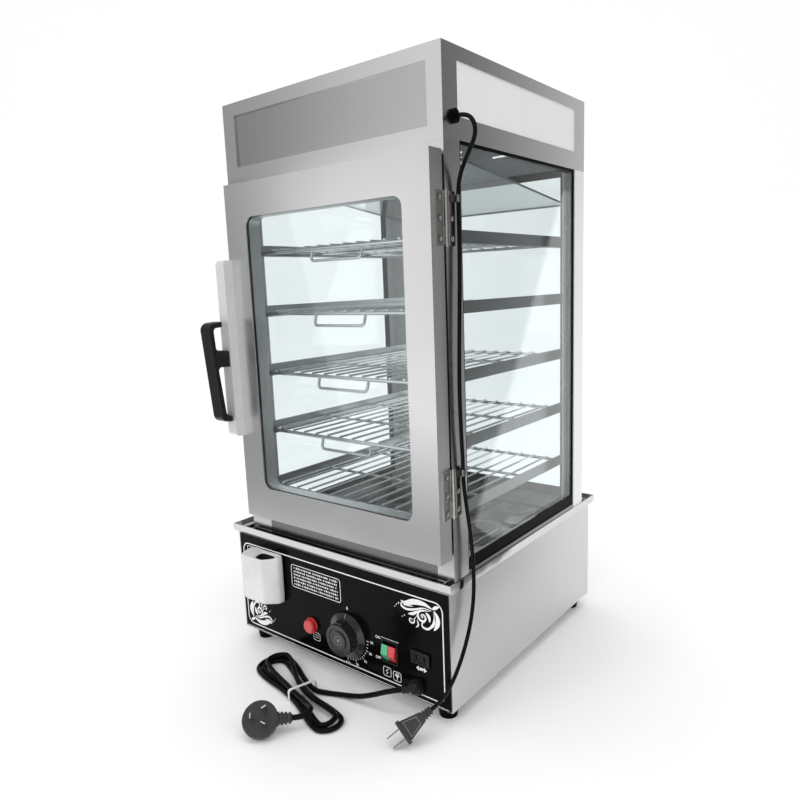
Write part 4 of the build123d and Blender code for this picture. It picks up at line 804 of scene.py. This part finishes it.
def make_cards():
    """Grey cards round the machine, so that its steel has darker parts from every side."""
    dark = 0.33                    # cards before the machine
    y = -0.6
    card("left_card", [(-1.3, y, 0.0), (-0.247, y, 0.0), (-0.490, y, 0.80), (-1.3, y, 0.80)], dark)
    card("header_card", [(-1.3, y, 0.80), (0.3, y, 0.80), (0.3, y, 1.2), (-1.3, y, 1.2)], dark,
         "X", -0.62, 0.05)
    y = -0.45
    card("low_card", [(-0.75, y, 0.054), (0.16, y, 0.054), (0.16, y, 0.36), (-0.75, y, 0.36)],
         dark, "Z", 0.14, 0.34)
    shade = 0.20                   # cards beside it, under the slanted edge
    x, top = 0.56, 0.785
    card("wedge_card", [(x, -0.3, 0.0), (x, 0.442, 0.0), (x, 0.904, top), (x, -0.3, top)], shade)
    z = 0.003
    card("ground_card", [(0.42, -0.3, z), (x, -0.3, z), (x, 0.44, z), (0.42, 0.36, z)], shade)
    card("side_card", [(x, -0.3, top), (x, 1.4, top), (x, 1.4, 1.3), (x, -0.3, 1.3)], 0.125,
         "Y", 0.40, 1.7)
    card("bright_card", [(x, 0.445, 0.002), (x, 1.6, 0.002), (x, 1.6, 0.783), (x, 0.905, 0.783)],
         1.2)
    x = 0.85
    card("right_card", [(x, -1.4, 0.0), (x, -0.4, 0.0), (x, -0.4, 1.2), (x, -1.4, 1.2)], 0.30)
    grey = 0.36                    # cards on the far sides
    x = -0.8
    card("far_card", [(x, -0.5, 0.05), (x, 1.1, 0.05), (x, 1.1, 1.3), (x, -0.5, 1.3)], grey,
         "Y", -0.2, 1.1)
    y = 0.9
    card("back_card", [(-0.9, y, 0.05), (0.5, y, 0.05), (0.5, y, 1.3), (-0.9, y, 1.3)], grey,
         "X", -0.4, 0.5)
    y = -2.2
    card("front_card", [(-0.95, y, 0.05), (1.1, y, 0.05), (1.1, y, 2.0), (-0.95, y, 2.0)], 0.40,
         "X", -0.5, 0.9)
    z = 1.7
    card("top_card", [(-0.9, -0.9, z), (0.9, -0.9, z), (0.9, 0.9, z), (-0.9, 0.9, z)], 0.5,
         "X", -0.5, 0.9)


SWEEP_HALF, SWEEP_NEAR, SWEEP_FAR, SWEEP_R, SWEEP_TOP = 6.0, -4.0, 3.0, 1.5, 6.0
SWEEP_STEPS, SWEEP_TURN = 8, 38.9


def make_stage():
    """White sweep that rises behind the machine, soft lights and a bright sky."""
    mesh = bmesh.new()
    rows = []
    turn = Matrix.Rotation(math.radians(SWEEP_TURN), 3, "Z")
    for side in (-SWEEP_HALF, SWEEP_HALF):
        row = [Vector((side, SWEEP_NEAR, 0)), Vector((side, SWEEP_FAR, 0))]
        for k in range(1, SWEEP_STEPS + 1):
            a = math.radians(90 * k / SWEEP_STEPS)
            row.append(Vector((side, SWEEP_FAR + SWEEP_R * math.sin(a),
                               SWEEP_R - SWEEP_R * math.cos(a))))
        row.append(Vector((side, SWEEP_FAR + SWEEP_R, SWEEP_TOP)))
        rows.append([mesh.verts.new(turn @ p) for p in row])
    for i in range(len(rows[0]) - 1):
        mesh.faces.new((rows[0][i], rows[1][i], rows[1][i + 1], rows[0][i + 1]))
    data = bpy.data.meshes.new("sweep")
    mesh.to_mesh(data)
    mesh.free()
    for face in data.polygons:
        face.use_smooth = True
    look = Look("sweep", (0.97, 0.97, 0.97), 0.8)
    data.materials.append(look.mat)
    link(bpy.data.objects.new("sweep", data))
    world = bpy.data.worlds.new("sky")
    bpy.context.scene.world = world
    world.use_nodes = True
    world.node_tree.nodes["Background"].inputs["Color"].default_value = (1, 1, 1, 1)
    world.node_tree.nodes["Background"].inputs["Strength"].default_value = 1.0
    bpy.context.scene.view_settings.view_transform = "Standard"
    area("key", (-0.9, -2.6, 1.9), (0, 0, 0.4), (0.9, 1.6), 10)
    area("top", (0.2, 0.1, 3.2), (0, 0, 0), (2.2, 2.2), 20)


make_camera()
looks = make_materials()

lamp_cord = cord_curve("lamp_lead", lamp_route(), LAMP_CORD_D)
lamp_cord.data.materials.append(looks["cord"])
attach(lamp_cord, "cabinet")
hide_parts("lamp_cord")

power_cord = cord_curve("power_lead", power_route(), CORD_D)
power_cord.data.materials.append(looks["cord"])
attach(power_cord, "cabinet")
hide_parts("power_cord", "cord_hank", "plug_tail")

dress_nodes()
panel_marks()
knob_marks()
words()
screws("frame_screws", 10.2, "cabinet", "hinge_frame_screws")
screws("door_screws", -12.6, "door", "hinge_door_screws")
plug_label_highlight()
cup()
make_stage()
make_cards()
